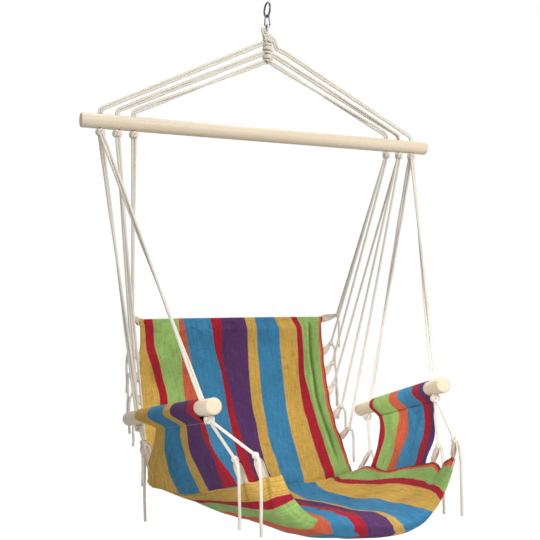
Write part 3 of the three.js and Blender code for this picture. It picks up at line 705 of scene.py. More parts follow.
for label, side in SIDES:
    for n in range(UPPER_LOOPS):
        place = BUNCH_PLACES[n % 3]
        a = FULL_TURN * (1 / 2 - place if side < 0 else place)
        start = bar_knot(side, 2 if n < 3 else 1) + BUNCH_R * vec(math.cos(a), math.sin(a), 0)
        hang(f"back_{label}_{n + 1}", f"back_rope_{label}_{n + 1}", side, n, start)
    hang(f"rear_lower_{label}", f"rear_strand_{label}", side, UPPER_LOOPS, arm_knot(side, "rear"))
    for n, step in ((1, STRAND_OFF), (2, -STRAND_OFF)):
        hang(f"front_lower_{label}_{n}", f"front_strand_{label}_{n}", side, UPPER_LOOPS + n,
             arm_knot(side, "front") + vec(0, step, 0))
print("tails:", len(tail_lengths), "from", min(tail_lengths), "to", max(tail_lengths), "m")

# %% [markdown]
# The steel ring and the teardrop link are bent from wire and welded shut. A swept
# circle makes each, with a little swelling where the weld is. The steel is bright
# but dark in its reflections, with fine rubbing marks along the wire.


# %% Ring and link
def skin(mesh, rings, closed=False, capped=False):
    """Faces between rings of points in millimetres. A ring may be a single point."""
    rings = [[mesh.verts.new(point * MM) for point in ring] for ring in rings]
    for a, b in zip(rings, rings[1:] + rings[:1] if closed else rings[1:]):
        for j in range(max(len(a), len(b))):
            k = j + 1
            corners = a[j % len(a)], a[k % len(a)], b[k % len(b)], b[j % len(b)]
            mesh.faces.new(list(dict.fromkeys(corners)))
    if capped:
        mesh.faces.new(rings[0][::-1])
        mesh.faces.new(rings[-1])
    bmesh.ops.recalc_face_normals(mesh, faces=mesh.faces)


def angles(count):
    return np.arange(count) / count * FULL_TURN


def finished(name, mesh, smooth=True):
    """An object for a mesh that has all its faces."""
    data = bpy.data.meshes.new(name)
    mesh.to_mesh(data)
    mesh.free()
    if smooth:
        data.shade_smooth()
    return placed(name, data)


def bent_wire(name, points, radius, weld, weld_at, weld_width, sides=20):
    """A closed loop of wire, swollen at its weld, which is given as shares."""
    p = np.array(points)
    tangent = units(np.roll(p, -1, axis=0) - np.roll(p, 1, axis=0))
    plane = np.linalg.svd(p - p.mean(axis=0))[2][2]
    rings = []
    for i, centre in enumerate(p):
        out = np.cross(plane, tangent[i])
        r = radius * (1 + weld * math.exp(-((i / len(p) - weld_at) / weld_width) ** 2))
        rings.append([centre + r * (math.cos(a) * out + math.sin(a) * plane) for a in angles(sides)])
    mesh = bmesh.new()
    skin(mesh, rings, closed=True)
    return finished(name, mesh)


steel = Finish("bright_steel", Metallic=1.0)
rub = steel.noise(steel.place(), 160.0, detail=6.0, rough=0.65)
smudge = steel.noise(steel.place(), 45.0, detail=2.0)
steel.feed(Base_Color=steel.blend(smudge, srgb(96, 99, 104), srgb(134, 137, 142)),
           Roughness=0.14 + rub * 0.16)
steel.bump(rub, 0.00008, 0.5)

circle = [vec(0, RING_R * math.sin(a), RING_WIRE - RING_R + RING_R * math.cos(a)) for a in angles(96)]
ring = bent_wire("wire_ring", circle, RING_WIRE, 0.12, 0.27, 0.012)
low_z = swing_z + LINK_BOTTOM_R
lean = math.asin((LINK_BOTTOM_R - link_top_r) / (sway_z - low_z))
drop_shape = [vec(r * math.cos(a), 0, z + r * math.sin(a))
              for r, z, arc in ((link_top_r, sway_z, np.linspace(lean, math.pi - lean, 20)),
                                (LINK_BOTTOM_R, low_z, np.linspace(math.pi - lean, FULL_TURN + lean, 26)))
              for a in arc]
link_line = smooth_path(drop_shape + [drop_shape[0]], 0.9)[:-1]
drop_link = bent_wire("wire_link", link_line, LINK_WIRE, 0.1, 0.35, 0.015)
for piece, node, body in ((ring, "hanging_ring", "ring"), (drop_link, "rope_link", "link")):
    piece.data.materials.append(steel.material)
    stand_in(piece, node, body)
print("ring and link:", len(ring.data.polygons) + len(drop_link.data.polygons), "faces")

# %% [markdown]
# The bar and the armrests are turned from pale hardwood dowel: sanded round, with
# softly rounded ends and drilled rope holes. Each is a lathed outline, and the holes
# are cut with a tool that flares at its ends, as a countersink does. The grain runs
# along the dowel whichever way it lies, so it is stored on the mesh as an attribute.

# %% Wood
SHARP_ANGLE = math.radians(38)  # wood's faces that meet more steeply than this keep an edge
wood = Finish("pale_hardwood", Roughness=0.5, Coat_Weight=0.08, Coat_Roughness=0.35)
grain_x, grain_y, grain_z = wood.axes(wood.stored("grain", "Vector"))


def grain_noise(along, across, **settings):
    return wood.noise(wood.vector(grain_x * along, grain_y * across, grain_z * across), **settings)


def growth_rings(heart, closeness, wander):
    """Waves round the tree's heart, which lies beside the dowel's middle."""
    off = grain_y * grain_y + (grain_z + heart) * (grain_z + heart)
    return (off.maths("POWER", off, 0.5) * closeness + broad * wander).wave()


streak = grain_noise(3.0, 90.0, detail=5.0, rough=0.6)
broad = grain_noise(1.4, 22.0, detail=2.0)
pores = grain_noise(60.0, 900.0, detail=2.0)
pore_mask = pores.maths("GREATER_THAN", pores, 0.66) * 0.25
end_rings = wood.stored("end") * (0.2 + growth_rings(0.006, 3400.0, 4.0) * 0.2)
tone = srgb(239, 227, 205)
grain_lines = growth_rings(0.03, 2600.0, 9.0) * 0.3 + streak * 0.9 - 0.34
for share, darker in (((broad * 1.6 - 0.3).held(), srgb(228, 211, 185)),
                      (grain_lines.held(), srgb(206, 176, 134)),
                      (pore_mask, srgb(176, 144, 102)), (end_rings.held(), srgb(184, 152, 110))):
    tone = wood.blend(share, tone, darker)
wood.feed(Base_Color=tone, Roughness=0.42 + streak * 0.2)
wood.bump(streak * 0.6 - pore_mask, 0.0003, 0.5)


def turned(name, start, stop, holes, ease=4.0):
    """A lathed dowel. Each hole is its middle, the way it runs, and how squarely it meets the dowel."""
    half = np.linalg.norm(stop - start) / 2
    middle = (start + stop) / 2
    lie = np.array(Vector((1, 0, 0)).rotation_difference(Vector(unit(stop - start))).to_matrix())
    end = [(-half, 0.0), (-half, ROUND_BAR * 0.35), (-half, ROUND_BAR * 0.62)]
    end += [(-half + ease * (1 - math.cos(a)), ROUND_BAR - ease * (1 - math.sin(a)))
            for a in np.linspace(0, math.pi / 2, 7)]
    barrel = [(x, ROUND_BAR) for x in np.linspace(-half, half, 25)[1:-1]]
    outline = end + barrel + [(-x, r) for x, r in end[::-1]]
    mesh = bmesh.new()
    skin(mesh, [[middle + lie @ vec(x, r * math.cos(a), r * math.sin(a)) for a in angles(64 if r else 1)]
                for x, r in outline])
    body = finished(name, mesh, smooth=False)
    tool = bmesh.new()
    for hole, way, squareness in holes:
        wall = ROUND_BAR / squareness
        drill_lie = np.array(Vector((0, 0, -1)).rotation_difference(Vector(way)).to_matrix())
        flare = [(-30, 9.6), (-wall - 0.2, 9.2), (-wall + 1.6, HOLE + 0.3), (-wall + 2.4, HOLE)]
        flare += [(-x, r) for x, r in flare[::-1]]
        skin(tool, [[hole + drill_lie @ vec(r * math.cos(a), r * math.sin(a), z) for a in angles(28)]
                    for z, r in flare], capped=True)
    drill = finished(name + "_drill", tool)
    cut = body.modifiers.new("holes", "BOOLEAN")
    cut.object = drill
    cut.solver = "EXACT"
    data = evaluated_mesh(body)
    body.modifiers.clear()
    body.data = data
    bpy.data.objects.remove(drill)
    data.name = name
    data.shade_smooth()
    data.set_sharp_from_angle(angle=SHARP_ANGLE)
    place = np.empty(len(data.vertices) * 3)
    data.vertices.foreach_get("co", place)
    local = (place.reshape(-1, 3) / MM - middle) @ lie
    at_end = (half - np.abs(local[:, 0]) < ease * 0.5).astype(float)
    data.attributes.new("grain", "FLOAT_VECTOR", "POINT").data.foreach_set("vector", (local * MM).ravel())
    data.attributes.new("end", "FLOAT", "POINT").data.foreach_set("value", at_end)
    data.materials.clear()
    data.materials.append(wood.material)
    return body


bar_holes = [(vec(hole_x(side, n), 0, BAR_Z), vec(0, 0, -1), 1.0) for _, side in SIDES for n in range(3)]
bar = turned("turned_bar", vec(-BAR_HALF, 0, BAR_Z), vec(BAR_HALF, 0, BAR_Z), bar_holes)
stand_in(bar, "spreader_bar", "hanger")
for label, side in SIDES:
    dowel = turned(f"turned_armrest_{label}", *arm_ends(side), [arm_hole(side, end) for end in ARM_HOLE])
    stand_in(dowel, f"arm_dowel_{label}")
print("bar:", len(bar.data.polygons), "faces, armrests:", len(dowel.data.polygons), "faces each")

# %% [markdown]
# The sling, the side panels and their casings are all cut from one striped canvas.
# So there is one canvas material, and each piece carries where it lies on the flat
# cloth: `stripe` counts millimetres across the stripes, `length` along them, and
# `shade` is painted shade that darkens the bottoms of creases and folds, and where it
# is below zero, a painted highlight.
# The order and widths of the stripes are written once. Every colour but the last is
# dyed yarn, and each has streaks along the warp, a plain weave, and tan threads at some
# edges. The last, a thin dark band along the binding's folded edge, is painted shade.

# %% Striped canvas
GOLD, BLUE, RED = srgb(219, 176, 80), srgb(57, 138, 183), srgb(180, 8, 41)
PURPLE, GREEN, ORANGE = srgb(91, 49, 106), srgb(159, 197, 108), srgb(221, 101, 66)
# the second colour here is painted shade, the dark side of the binding's folded edge
TAN, BINDING_FOLD_SHADE, UNDYED = srgb(212, 170, 118), srgb(160, 54, 36), srgb(232, 218, 190)
# the last band, from 608 mm to the edge, is painted shade on the binding's folded edge
STRIPES = ((0, GOLD), (40, RED), (64, GREEN), (133, ORANGE), (178, BLUE), (254, RED), (286, PURPLE),
           (357, GOLD), (388, BLUE), (456, GOLD), (505, RED), (525, GREEN), (601, ORANGE), (608, BINDING_FOLD_SHADE))
NO_TAN_AT = (178, 254, 286, 608)
CLOTH_WIDTH = 612.0
YARN = 1.3  # from one yarn to the next but one

canvas = Finish("striped_canvas", Roughness=0.95)
across_at, along_at = canvas.stored("stripe"), canvas.stored("length")


def yarn_noise(across, along, start, detail, rough=0.5):
    """Noise on the flat cloth, drawn out along the yarns."""
    spot = canvas.vector(across_at * across, along_at * along, start)
    return canvas.noise(spot, detail=detail, rough=rough)


wander = canvas.noise(canvas.vector(along_at * 0.02, 0.0, 0.0), detail=3.0)
yarn_at = across_at + (wander - 0.5) * 2.4
colour = GOLD
# each band's colour is its dye, except the last band, which is painted shade
for place, dye_and_shade in STRIPES[1:]:
    colour = canvas.blend(((yarn_at - place) * 1.6 + 0.5).held(), colour, dye_and_shade)
tan_threads = sum(((yarn_at - place).size() * -0.8 + 1.3).held()
                  for place, _ in STRIPES[1:] if place not in NO_TAN_AT)
colour = canvas.blend((tan_threads * 0.6).held(), colour, TAN)
warp_streak = yarn_noise(0.3, 0.016, 0.0, 5.0, 0.7)
fine_streak = yarn_noise(1.6, 0.07, 4.0, 2.0, 0.6)
slub = yarn_noise(0.05, 0.5, 9.0, 4.0, 0.7)
wear = canvas.noise(canvas.place(), 14.0, detail=4.0, rough=0.6)
weave = (across_at * (FULL_TURN / YARN)).wave() * (along_at * (FULL_TURN / YARN)).wave()
pale = canvas.blend(((fine_streak - 0.5) * 2.2).held(), colour, UNDYED)
colour = canvas.blend(0.08, colour, pale)
light = (1.0 + (warp_streak - 0.5) * 1.3 + (slub - 0.5) * 0.9 + (wear - 0.5) * 0.55
         + (fine_streak - 0.5) * 0.6 + weave * 0.035)
# painted shade from the stored `shade`: the cloth darkens in creases and folds, and lightens as a painted
# highlight where it is below zero
canvas.feed(Base_Color=canvas.scaled(colour, light * (1.0 - canvas.stored("shade"))),
            Roughness=0.88 + fine_streak * 0.1)
canvas.bump(weave * 0.35 + warp_streak * 0.9 + slub * 0.9 + fine_streak * 0.5, 0.0011, 0.75)
print("canvas stripes:", len(STRIPES), "across", CLOTH_WIDTH, "mm")

# %% [markdown]
# Cloth pieces start as grids of points: rows along the cloth, columns across it.
# The first helper gives such a grid two faces and a closed rim, and stores where
# each point lies on the flat cloth. The others are the few curves that folds,
# lumps and creases are added up from.


# %% Grids to closed cloth
def closed_cloth(name, top, under, finish, **attributes):
    """Two grids of points with a rim between them, as one closed mesh."""
    rows, cols = top.shape[:2]
    size = rows * cols
    grid = np.arange(size).reshape(rows, cols)
    a, b, c, d = grid[:-1, :-1], grid[1:, :-1], grid[1:, 1:], grid[:-1, 1:]
    upper = np.stack([a, b, c, d], axis=-1).reshape(-1, 4)
    lower = np.stack([a, d, c, b], axis=-1).reshape(-1, 4) + size
    rim = np.concatenate([grid[:, 0], grid[-1, 1:], grid[-2::-1, -1], grid[0, -2:0:-1]])
    after = np.roll(rim, -1)
    faces = np.concatenate([upper, lower, np.stack([rim, rim + size, after + size, after], axis=-1)])
    points = np.concatenate([top.reshape(-1, 3), under.reshape(-1, 3)]) * MM
    data = bpy.data.meshes.new(name)
    data.from_pydata(points.tolist(), [], faces.tolist())
    for label, both in attributes.items():
        values = np.concatenate([values.ravel() for values in both]).astype(np.float32)
        data.attributes.new(label, "FLOAT", "POINT").data.foreach_set("value", values)
    data.materials.append(finish.material)
    data.shade_smooth()
    mesh = bmesh.new()
    mesh.from_mesh(data)
    bmesh.ops.recalc_face_normals(mesh, faces=mesh.faces)
    mesh.to_mesh(data)
    mesh.free()
    return placed(name, data)


def normals_of(grid):
    n = np.cross(np.gradient(grid, axis=0), np.gradient(grid, axis=1))
    return n / np.maximum(np.linalg.norm(n, axis=2), 1e-9)[..., None]


def held(values):
    return np.clip(values, 0, 1)


def eased(value, low, high):
    t = held((value - low) / (high - low))
    return t * t * (3 - 2 * t)


def bell(off, width):
    """1 where off is 0, and next to nothing two widths away."""
    return np.exp(-(off / width) ** 2)


def value_at(pairs, along):
    return np.interp(along, [place for place, _ in pairs], [value for _, value in pairs])


def lumps(points, scale, seed):
    """Smooth noise at each point of a grid, from -1 to 1."""
    flat = points.reshape(-1, 3) * scale + seed
    return np.array([noise.noise(p) for p in flat]).reshape(points.shape[:-1])


def wrinkles(points, scale, seed):
    """Thin winding creases in patches: 1 on a crease's line, 0 away from it."""
    return bell(lumps(points, scale, seed), .06) * held(lumps(points, scale * .45, seed + 7) * 3)


print("cloth helpers ready")

# %% [markdown]
# The sling is one long padded cloth, back and seat in one, sewn through along the
# crease between them. Two layers of canvas hold a thin filling. Its middle line and
# its edges are known, and between them it hangs as a soft trough: the floor of the
# seat is nearly flat and the side walls rise steeply to the hems.

# %% Shape of the sling
HEM = 6.0
MIDDLE_PLACES = np.arange(len(MIDDLE)) / (len(MIDDLE) - 1)
CREASE = 6 / 13
# how steeply a wall rises: pairs of a share along the sling and a power
WALL_POWER = {
    -1: ((0, 3), (.35, 3), (.48, 1.3), (.6, 1.1), (.7, 1.6), (.8, 2.8), (.9, 4.2), (1, 4.2)),
    1: ((0, 3), (.44, 3), (.56, 4.2), (1, 4.2)),
}
BOW = ((0, .12), (.6, .12), (.85, .024), (1, .024))
CROWN_POWER = ((0, 4), (.44, 4), (.64, 2), (1, 2))
ROWS, COLUMNS = 201, 141


def middle_value(along, column):
    return np.interp(along, MIDDLE_PLACES, [row[column] for row in MIDDLE])


def sling_row(along, across):
    """One row of points of the sling's middle layer, from its left edge to its right."""
    middle = middle_line(along)
    side = np.where(across < 0, -1, 1)
    edge = np.where(side[:, None] < 0, edge_line[-1](along), edge_line[1](along))
    w = np.abs(across)
    lift = w ** 3
    wide = w + value_at(BOW, along) * (w - lift)
    rise = w ** np.where(side < 0, value_at(WALL_POWER[-1], along), value_at(WALL_POWER[1], along))
    slope = -side * middle_value(along, 3) * HALF_WIDTH
    return np.stack([edge[:, 0] * wide, middle[1] + (edge[:, 1] - middle[1]) * lift,
                     middle[2] + slope * w + (edge[:, 2] - middle[2] - slope) * rise], axis=1)


stations = np.linspace(0, 1, ROWS)
columns = np.linspace(-1, 1, COLUMNS)
sling_core = np.array([sling_row(s, columns) for s in stations])
lengthwise = run_along(sling_core[:, COLUMNS // 2])
print("sling:", round(lengthwise[-1]), "mm from the back's top to the nose")

# %% [markdown]
# The stripes don't run straight: the cloth is stretched and folded as it hangs. The
# tables give each stripe's edges as pairs, a share along the sling and a place across
# it from -1 at the left hem to 1 at the right. At the crease the two halves were
# sewn a little out of step, so the seat starts with its own places. Under the nose
# the stripes come round from the top, then run back along the outside.

# %% Stripes on the sling
BACK_STRIPES = (
    ((0, -.945), (.09, -.948), (.126, -.93), (.162, -.885), (.191, -.817), (.215, -.792), (.234, -.803),
     (.3, -.84), (.46, -.86)),
    ((0, -.828), (.116, -.825), (.149, -.8), (.176, -.756), (.206, -.715), (.23, -.709), (.3, -.74),
     (.46, -.77)),
    ((0, -.546), (.1, -.546), (.133, -.532), (.178, -.524), (.219, -.52), (.3, -.51), (.46, -.53)),
    ((0, -.507), (.084, -.483), (.117, -.459), (.168, -.417), (.203, -.392), (.229, -.353), (.3, -.36),
     (.46, -.38)),
    ((0, -.235), (.08, -.217), (.129, -.183), (.178, -.126), (.225, -.099), (.298, -.091), (.353, -.105),
     (.46, -.13)),
    ((0, -.13), (.119, -.124), (.153, -.117), (.207, -.071), (.244, -.048), (.322, -.024), (.366, -.02),
     (.46, -.04)),
    ((0, .101), (.082, .127), (.156, .14), (.213, .146), (.314, .149), (.366, .129), (.401, .108),
     (.46, .09)),
    ((0, .2), (.104, .222), (.174, .247), (.285, .253), (.33, .238), (.38, .229), (.412, .217), (.46, .177)),
    ((0, .406), (.073, .452), (.141, .478), (.195, .498), (.25, .507), (.307, .488), (.365, .472),
     (.409, .446), (.46, .4)),
    ((0, .585), (.077, .644), (.142, .676), (.251, .682), (.308, .69), (.367, .668), (.41, .65), (.46, .625)),
    ((0, .657), (.088, .721), (.143, .747), (.19, .75), (.233, .785), (.287, .81), (.339, .808),
     (.39, .786), (.46, .745)),
    ((0, .95), (.11, .95), (.25, .956), (.46, .956)),
)
SEAT_STRIPES = (
    ((.46, -.86), (.6, -.88), (.75, -.885), (.9, -.885), (1, -.885)),
    ((.46, -.77), (.6, -.8), (.75, -.83), (.9, -.8), (1, -.84)),
    ((.46, -.55), (.7, -.56), (.88, -.53), (1, -.53)),
    ((.46, -.38), (.7, -.4), (.88, -.39), (1, -.36)),
    ((.46, -.13), (.7, -.16), (.88, -.15), (.914, -.1), (1, -.04)),
    ((.46, -.04), (.7, 0), (.844, .06), (.938, .06), (1, .09)),
    ((.46, .05), (.6, .06), (.75, .16), (.847, .25), (.93, .29), (1, .33)),
    ((.46, .172), (.542, .153), (.6, .125), (.66, .13), (.75, .21), (.85, .32), (.904, .355), (1, .42)),
    ((.46, .48), (.506, .461), (.558, .442), (.599, .485), (.64, .583), (.711, .635), (.845, .66),
     (.9, .69), (1, .715)),
    ((.46, .676), (.515, .65), (.541, .681), (.576, .793), (.607, .85), (.651, .87), (.723, .865),
     (.834, .845), (.9, .83), (1, .807)),
    ((.46, .74), (.512, .724), (.552, .811), (.598, .9), (.622, .93), (.705, .924), (.808, .894),
     (.88, .875), (1, .856)),
    ((.46, .92), (.534, .965), (.6, .974), (.765, .976), (.844, .972), (1, .97)),
)
UNDER_STRIPES = (
    ((.46, -.86), (.69, -.914), (.743, -.887), (.803, -.895), (.878, -.878), (.968, -.888), (1, -.885)),
    ((.46, -.77), (.713, -.864), (.749, -.833), (.829, -.819), (.88, -.807), (.939, -.815), (1, -.84)),
    ((.46, -.55), (.7, -.7), (.808, -.718), (.862, -.623), (.935, -.475), (1, -.53)),
    ((.46, -.38), (.75, -.55), (.85, -.38), (.946, -.246), (.982, -.324), (1, -.36)),
    ((.46, -.13), (.75, -.2), (.85, -.05), (.937, .049), (.98, -.016), (1, -.04)),
    ((.46, -.04), (.7, -.02), (.85, .03), (.945, .12), (1, .09)),
    ((.46, .05), (.6, .15), (.85, .26), (.958, .364), (1, .33)),
    ((.46, .172), (.6, .2), (.85, .37), (.952, .456), (1, .42)),
    ((.46, .44), (.6, .5), (.8, .66), (.95, .73), (1, .715)),
    ((.46, .65), (.6, .72), (.8, .8), (1, .807)),
    ((.46, .74), (.6, .82), (.8, .86), (1, .856)),
    ((.46, .95), (.8, .975), (1, .97)),
)
FLAT_EDGES = [0] + [place for place, _ in STRIPES[1:-1]] + [CLOTH_WIDTH]


def softened(values, spread=4):
    kernel = np.exp(-np.linspace(-2, 2, 2 * spread + 1) ** 2)
    return np.convolve(np.pad(values, spread, mode="edge"), kernel / kernel.sum(), mode="valid")


def stripe_field(*tables):
    """The flat cloth's stripe coordinate over the whole grid, from the back's table and the seat's."""
    field = np.empty((ROWS, COLUMNS))
    back = stations <= CREASE
    for rows, table in zip((back, ~back), tables):
        lines = np.maximum.accumulate([softened(value_at(pairs, stations[rows])) for pairs in table], axis=0)
        for target, line in zip(np.where(rows)[0], lines.T):
            field[target] = np.interp(columns, [-1, *line, 1], FLAT_EDGES)
    return field


stripe_top = stripe_field(BACK_STRIPES, SEAT_STRIPES)
stripe_under = stripe_field(BACK_STRIPES, UNDER_STRIPES)
length_field = np.repeat(lengthwise[:, None], COLUMNS, axis=1)
print("stripe edges placed:", len(BACK_STRIPES), "on the back,", len(SEAT_STRIPES), "on the seat")

# %% [markdown]
# Next comes the filling's thickness and everything that makes cloth look like cloth:
# the seam at the crease pulls both faces together, the hems are flat, the edge dips
# between the ribbon loops, one long fold runs down the right of the back, and slow
# lumps and short tucks cover the rest. Painted shade darkens the seam's crease, the
# fold's groove, a band to the right of the fold and the thin wrinkles, and a painted
# highlight runs along the fold's left lip.

# %% Padding, folds and seams
# where the long fold runs: pairs of a share along the sling and a place across it
FOLD = ((.02, .80), (.085, .819), (.144, .833), (.197, .856), (.24, .857), (.283, .873), (.326, .882),
        (.42, .86))
SLACK_AT = .817  # the right edge hangs through a little here
UNDERSIDE_SHIFT = 700  # so the underside's streaks aren't the top's
S, W = np.meshgrid(stations, columns, indexing="ij")
away = np.abs(W)
thickness = HEM + np.maximum(middle_value(S, 2) * PAD - HEM, 0) * (1 - away ** value_at(CROWN_POWER, S))
core_normal = normals_of(sling_core)
soft = held(1 - away ** 6) * held(S / .03) * held((1 - S) / .04)
from_crease = (S - CREASE) * lengthwise[-1]

core = sling_core.copy()
for _, side in SIDES:
    at_loops = held(sum(bell(S - along, .022) for along, *_ in LOOPS[side]))
    dip = held((W * side - .72) / .28) ** 2 * (1 - at_loops)
    core[..., 2] -= dip * np.where(S > CREASE, 4.0 - side * 2.5, 0.0)
    core[..., 0] -= side * dip * np.where(S > CREASE, 1.0, 5.0) * held(S / .05)
core[..., 2] -= 17 * bell(S - SLACK_AT, .016) * held((W - .86) / .14)


def tucks(along, across, seed):
    """Lumps that keep to the cloth: so many along the sling and across half of it."""
    return lumps(np.stack([S * along, W * across, S * 0], axis=-1), 1.0, seed)


seam_tuck = tucks(6, 30, 8.0) * bell(from_crease, 55)
edge_tuck = tucks(70, 2, 2.0) * held((away - .8) / .2)
wrinkle = wrinkles(sling_core * np.array([.7, 1.2, 1.0]), 1 / 40, 41.0) * soft
drawn_out = sling_core * np.array([1.0, .45, .45])
slow = lumps(sling_core, 1 / 95, 3.0) * 5.5 + lumps(drawn_out, 1 / 38, 11.0) * 2.2
relief = soft * (slow + tucks(9, 26, 5.0) * 0.9) + seam_tuck * 3.0 + edge_tuck * 3.0 - wrinkle * 2.0
groove = -9.0 * bell(from_crease, 6.5) + 4.0 * bell(np.abs(from_crease) - 24, 13)
fold_run = eased(S, .02, .1) * (1 - eased(S, .36, .44))
off_fold = (W - value_at(FOLD, S)) * HALF_WIDTH
fold = fold_run * (-11.0 * bell(off_fold, 3.0) + 4.0 * bell(np.abs(off_fold) - 11, 6.5))
left_waves = bell(S - .17, .06) * bell(W + .83, .09) * 9 * np.sin((S - .12) * 55)
# painted shade in the fold's groove and on a band to its right, a painted highlight on its left lip, and
# painted shade along the seam's crease and the wrinkles
shade_top = (fold_run * (0.5 * bell(off_fold - 1.5, 2.6) - 0.12 * bell(off_fold + 9, 5)
                         + 0.13 * eased(off_fold, 2, 8) * (1 - eased(off_fold, 20, 34)))
             + 0.35 * bell(from_crease, 4.5) * (away < .97) + wrinkle * 0.2)
top = core + core_normal * (thickness / 2 + relief + groove + fold + left_waves)[..., None]
under_relief = soft * (lumps(sling_core, 1 / 80, 21.0) * 5 + lumps(sling_core, 1 / 33, 31.0) * 1.6)
under = core - core_normal * (thickness / 2 + under_relief + groove * 0.5)[..., None]
sling = closed_cloth("padded_sling", top, under, canvas, stripe=(stripe_top, stripe_under),
                     length=(length_field, length_field + UNDERSIDE_SHIFT), shade=(shade_top, shade_top * 0))
stand_in(sling, "seat_sling")
print("padded sling:", len(sling.data.polygons), "faces")

# %% [markdown]
# Each armrest wears a sleeve of the same canvas. A single panel starts at a seam
# under the dowel, goes up its inner side, over the top and down the outer side to
# the same seam, and from there hangs as a flap to the sling's edge. So it is one
# sheet, and its stripes turn over the dowel without a break.

# %% Side panels
# where the sleeve starts and stops along the dowel, where its seam does, and the foot along the sling
SLEEVE = {-1: (95, 433), 1: (113, 433)}
SEAM = {-1: (180, 446), 1: (126, 446)}
FOOT = {-1: (.45, .85), 1: (.545, .74)}
SLEEVE_R = ROUND_BAR + 1.3
SEAM_DROP = 31.0
BELLY = {-1: 5.0, 1: 11.0}
PANEL_COLUMNS, FLAP_ROWS = 97, 40
CLOTH_HALF = 0.9
# how much painted shade darkens the middle of a panel's crease
CREASE_SHADE = 0.22
SEAM_PROUD = 1.4  # how far the seam's stitches stand off the cloth's middle
# stripe places: over the top, at the seam and at the foot, then the flat cloth's own
PANEL_STRIPES = {
    -1: ((0, .25, .525, .64, .9, 1), (0, .21, .53, .655, .93, 1), (0, .4625, .655, .7325, .875, 1),
         (504, 456, 388, 357, 286, 264)),
    1: ((0, .08, .4, .56, .82, .92, 1), (0, .075, .386, .565, .83, .927, 1), (0, .12, .32, .47, .82, .92, 1),
        (47, 64, 133, 178, 254, 286, 305)),
}


def between(first, last, share):
    return first + (last - first) * share


def panel_grid(side):
    """The panel's points, and how many of its rows are the sleeve."""
    rear, front = arm_ends(side)
    axis = unit(front - rear)
    up = unit(vec(0, 0, 1) - axis[2] * axis)
    sideways = vec(side, 0, 0)
    out = unit(sideways - side * axis[0] * axis - np.dot(sideways, up) * up)
    touch = math.pi - math.acos(SLEEVE_R / SEAM_DROP)
    seam_at = np.array([[0.0, -SEAM_DROP]])
    ring = np.array([[-SLEEVE_R * math.sin(a), SLEEVE_R * math.cos(a)]
                     for a in np.linspace(touch, -touch, 27)])
    share = np.linspace(0, 1, 6)[:, None]
    loop = np.vstack([between(seam_at, ring[0], share[:-1]) + [[-CLOTH_HALF, 0]], ring,
                      between(ring[-1], seam_at, share[1:]) + [[CLOTH_HALF, 0]]])
    u = np.linspace(0, 1, PANEL_COLUMNS)
    rows = []
    for k, (o, h) in enumerate(loop):
        low = eased(-h, 0, SEAM_DROP)
        along = between(*SLEEVE[side], u) * (1 - low) + between(*SEAM[side], u) * low
        sag = 1.1 * np.sin(u * 23 + k * .3) * low
        rows.append(rear + axis * along[:, None] + out * (o + sag)[:, None] + up * h)
    seam = rows[-1]
    foot = np.array([edge_line[side](between(*FOOT[side], t)) for t in u])
    foot = foot + vec(side * 5, 0, -2) + vec(0, 0, -3) * np.sin(u * math.pi)[:, None]
    for v in np.linspace(0, 1, FLAP_ROWS + 1)[1:]:
        hang = math.sin(math.pi * min(v * 1.05, 1))
        pleat = 3.6 * np.sin(FULL_TURN * (2.6 * u - .8 * v) + side) * hang
        crumple = 2.2 * np.sin(FULL_TURN * (5.3 * u + 1.1 * v) + 2) * hang * (0.3 + u * .7)
        pull = 7 * math.sin(math.pi * v) * np.where(u < .5, np.exp(-u / .05), -np.exp(-(1 - u) / .05))
        rows.append(between(seam, foot, v) + out * (BELLY[side] * hang + pleat + crumple)[:, None]
                    + axis * pull[:, None])
    return np.array(rows), len(loop)


def panel_stripes(side, rows, sleeve):
    over, seam, foot, flat = (np.array(places) for places in PANEL_STRIPES[side])
    field = []
    for k in range(rows):
        if k < sleeve:
            line = between(over, seam, eased(abs(k / (sleeve - 1) - .5) * 2, .4, 1))
        else:
            line = between(seam, foot, (k - sleeve + 1) / (rows - sleeve))
        field.append(np.interp(np.linspace(0, 1, PANEL_COLUMNS), line, flat))
    return np.array(field)


seam_paths = []
for label, side in SIDES:
    grid, sleeve = panel_grid(side)
    facing = normals_of(grid) * (-side)
    rough = lumps(grid, 1 / 24, 4.0 + side)[..., None]
    crease = wrinkles(grid, 1 / 30, 4.0 + side)
    grid = grid + facing * (rough * np.linspace(0.2, 1.4, len(grid))[:, None, None] - crease[..., None])
    length = np.repeat(run_along(grid[:, PANEL_COLUMNS // 2])[:, None], PANEL_COLUMNS, axis=1)
    stripe = panel_stripes(side, len(grid), sleeve)
    # painted shade along the panel's creases, the same on both faces
    half, painted_shade = facing * CLOTH_HALF, crease * CREASE_SHADE
    panel = closed_cloth(f"cloth_panel_{label}", grid + half, grid - half, canvas,
                         stripe=(stripe, stripe), length=(length, length), shade=(painted_shade, painted_shade))
    stand_in(panel, f"side_panel_{label}")
    seam_paths.append(grid[sleeve - 1] + facing[sleeve - 1] * SEAM_PROUD)

# %% [markdown]
# Eighteen ribbon loops join the sling to the ropes. Each is a folded cotton tape:
# both ends are sewn to the hem, one on each face, and the rope's knot grips the
# fold, so the tape is wide and flat at the hem and gathered at the knot. The long
# one at the left rear is opened and turned out at its knot instead.

# %% Ribbon loops
TAPE_WIDTH = 20.0
TAPE_APART = 1.5  # half the gap between a loop's two layers
TAPE_HALF = 0.45
TAPE_COLUMNS = 17
SEWN_IN = 3  # the column of the sling's grid, counted from its edge, that tapes are sewn to
LONG_LOOP, LONG_LOOP_AT = (-1, UPPER_LOOPS), .53

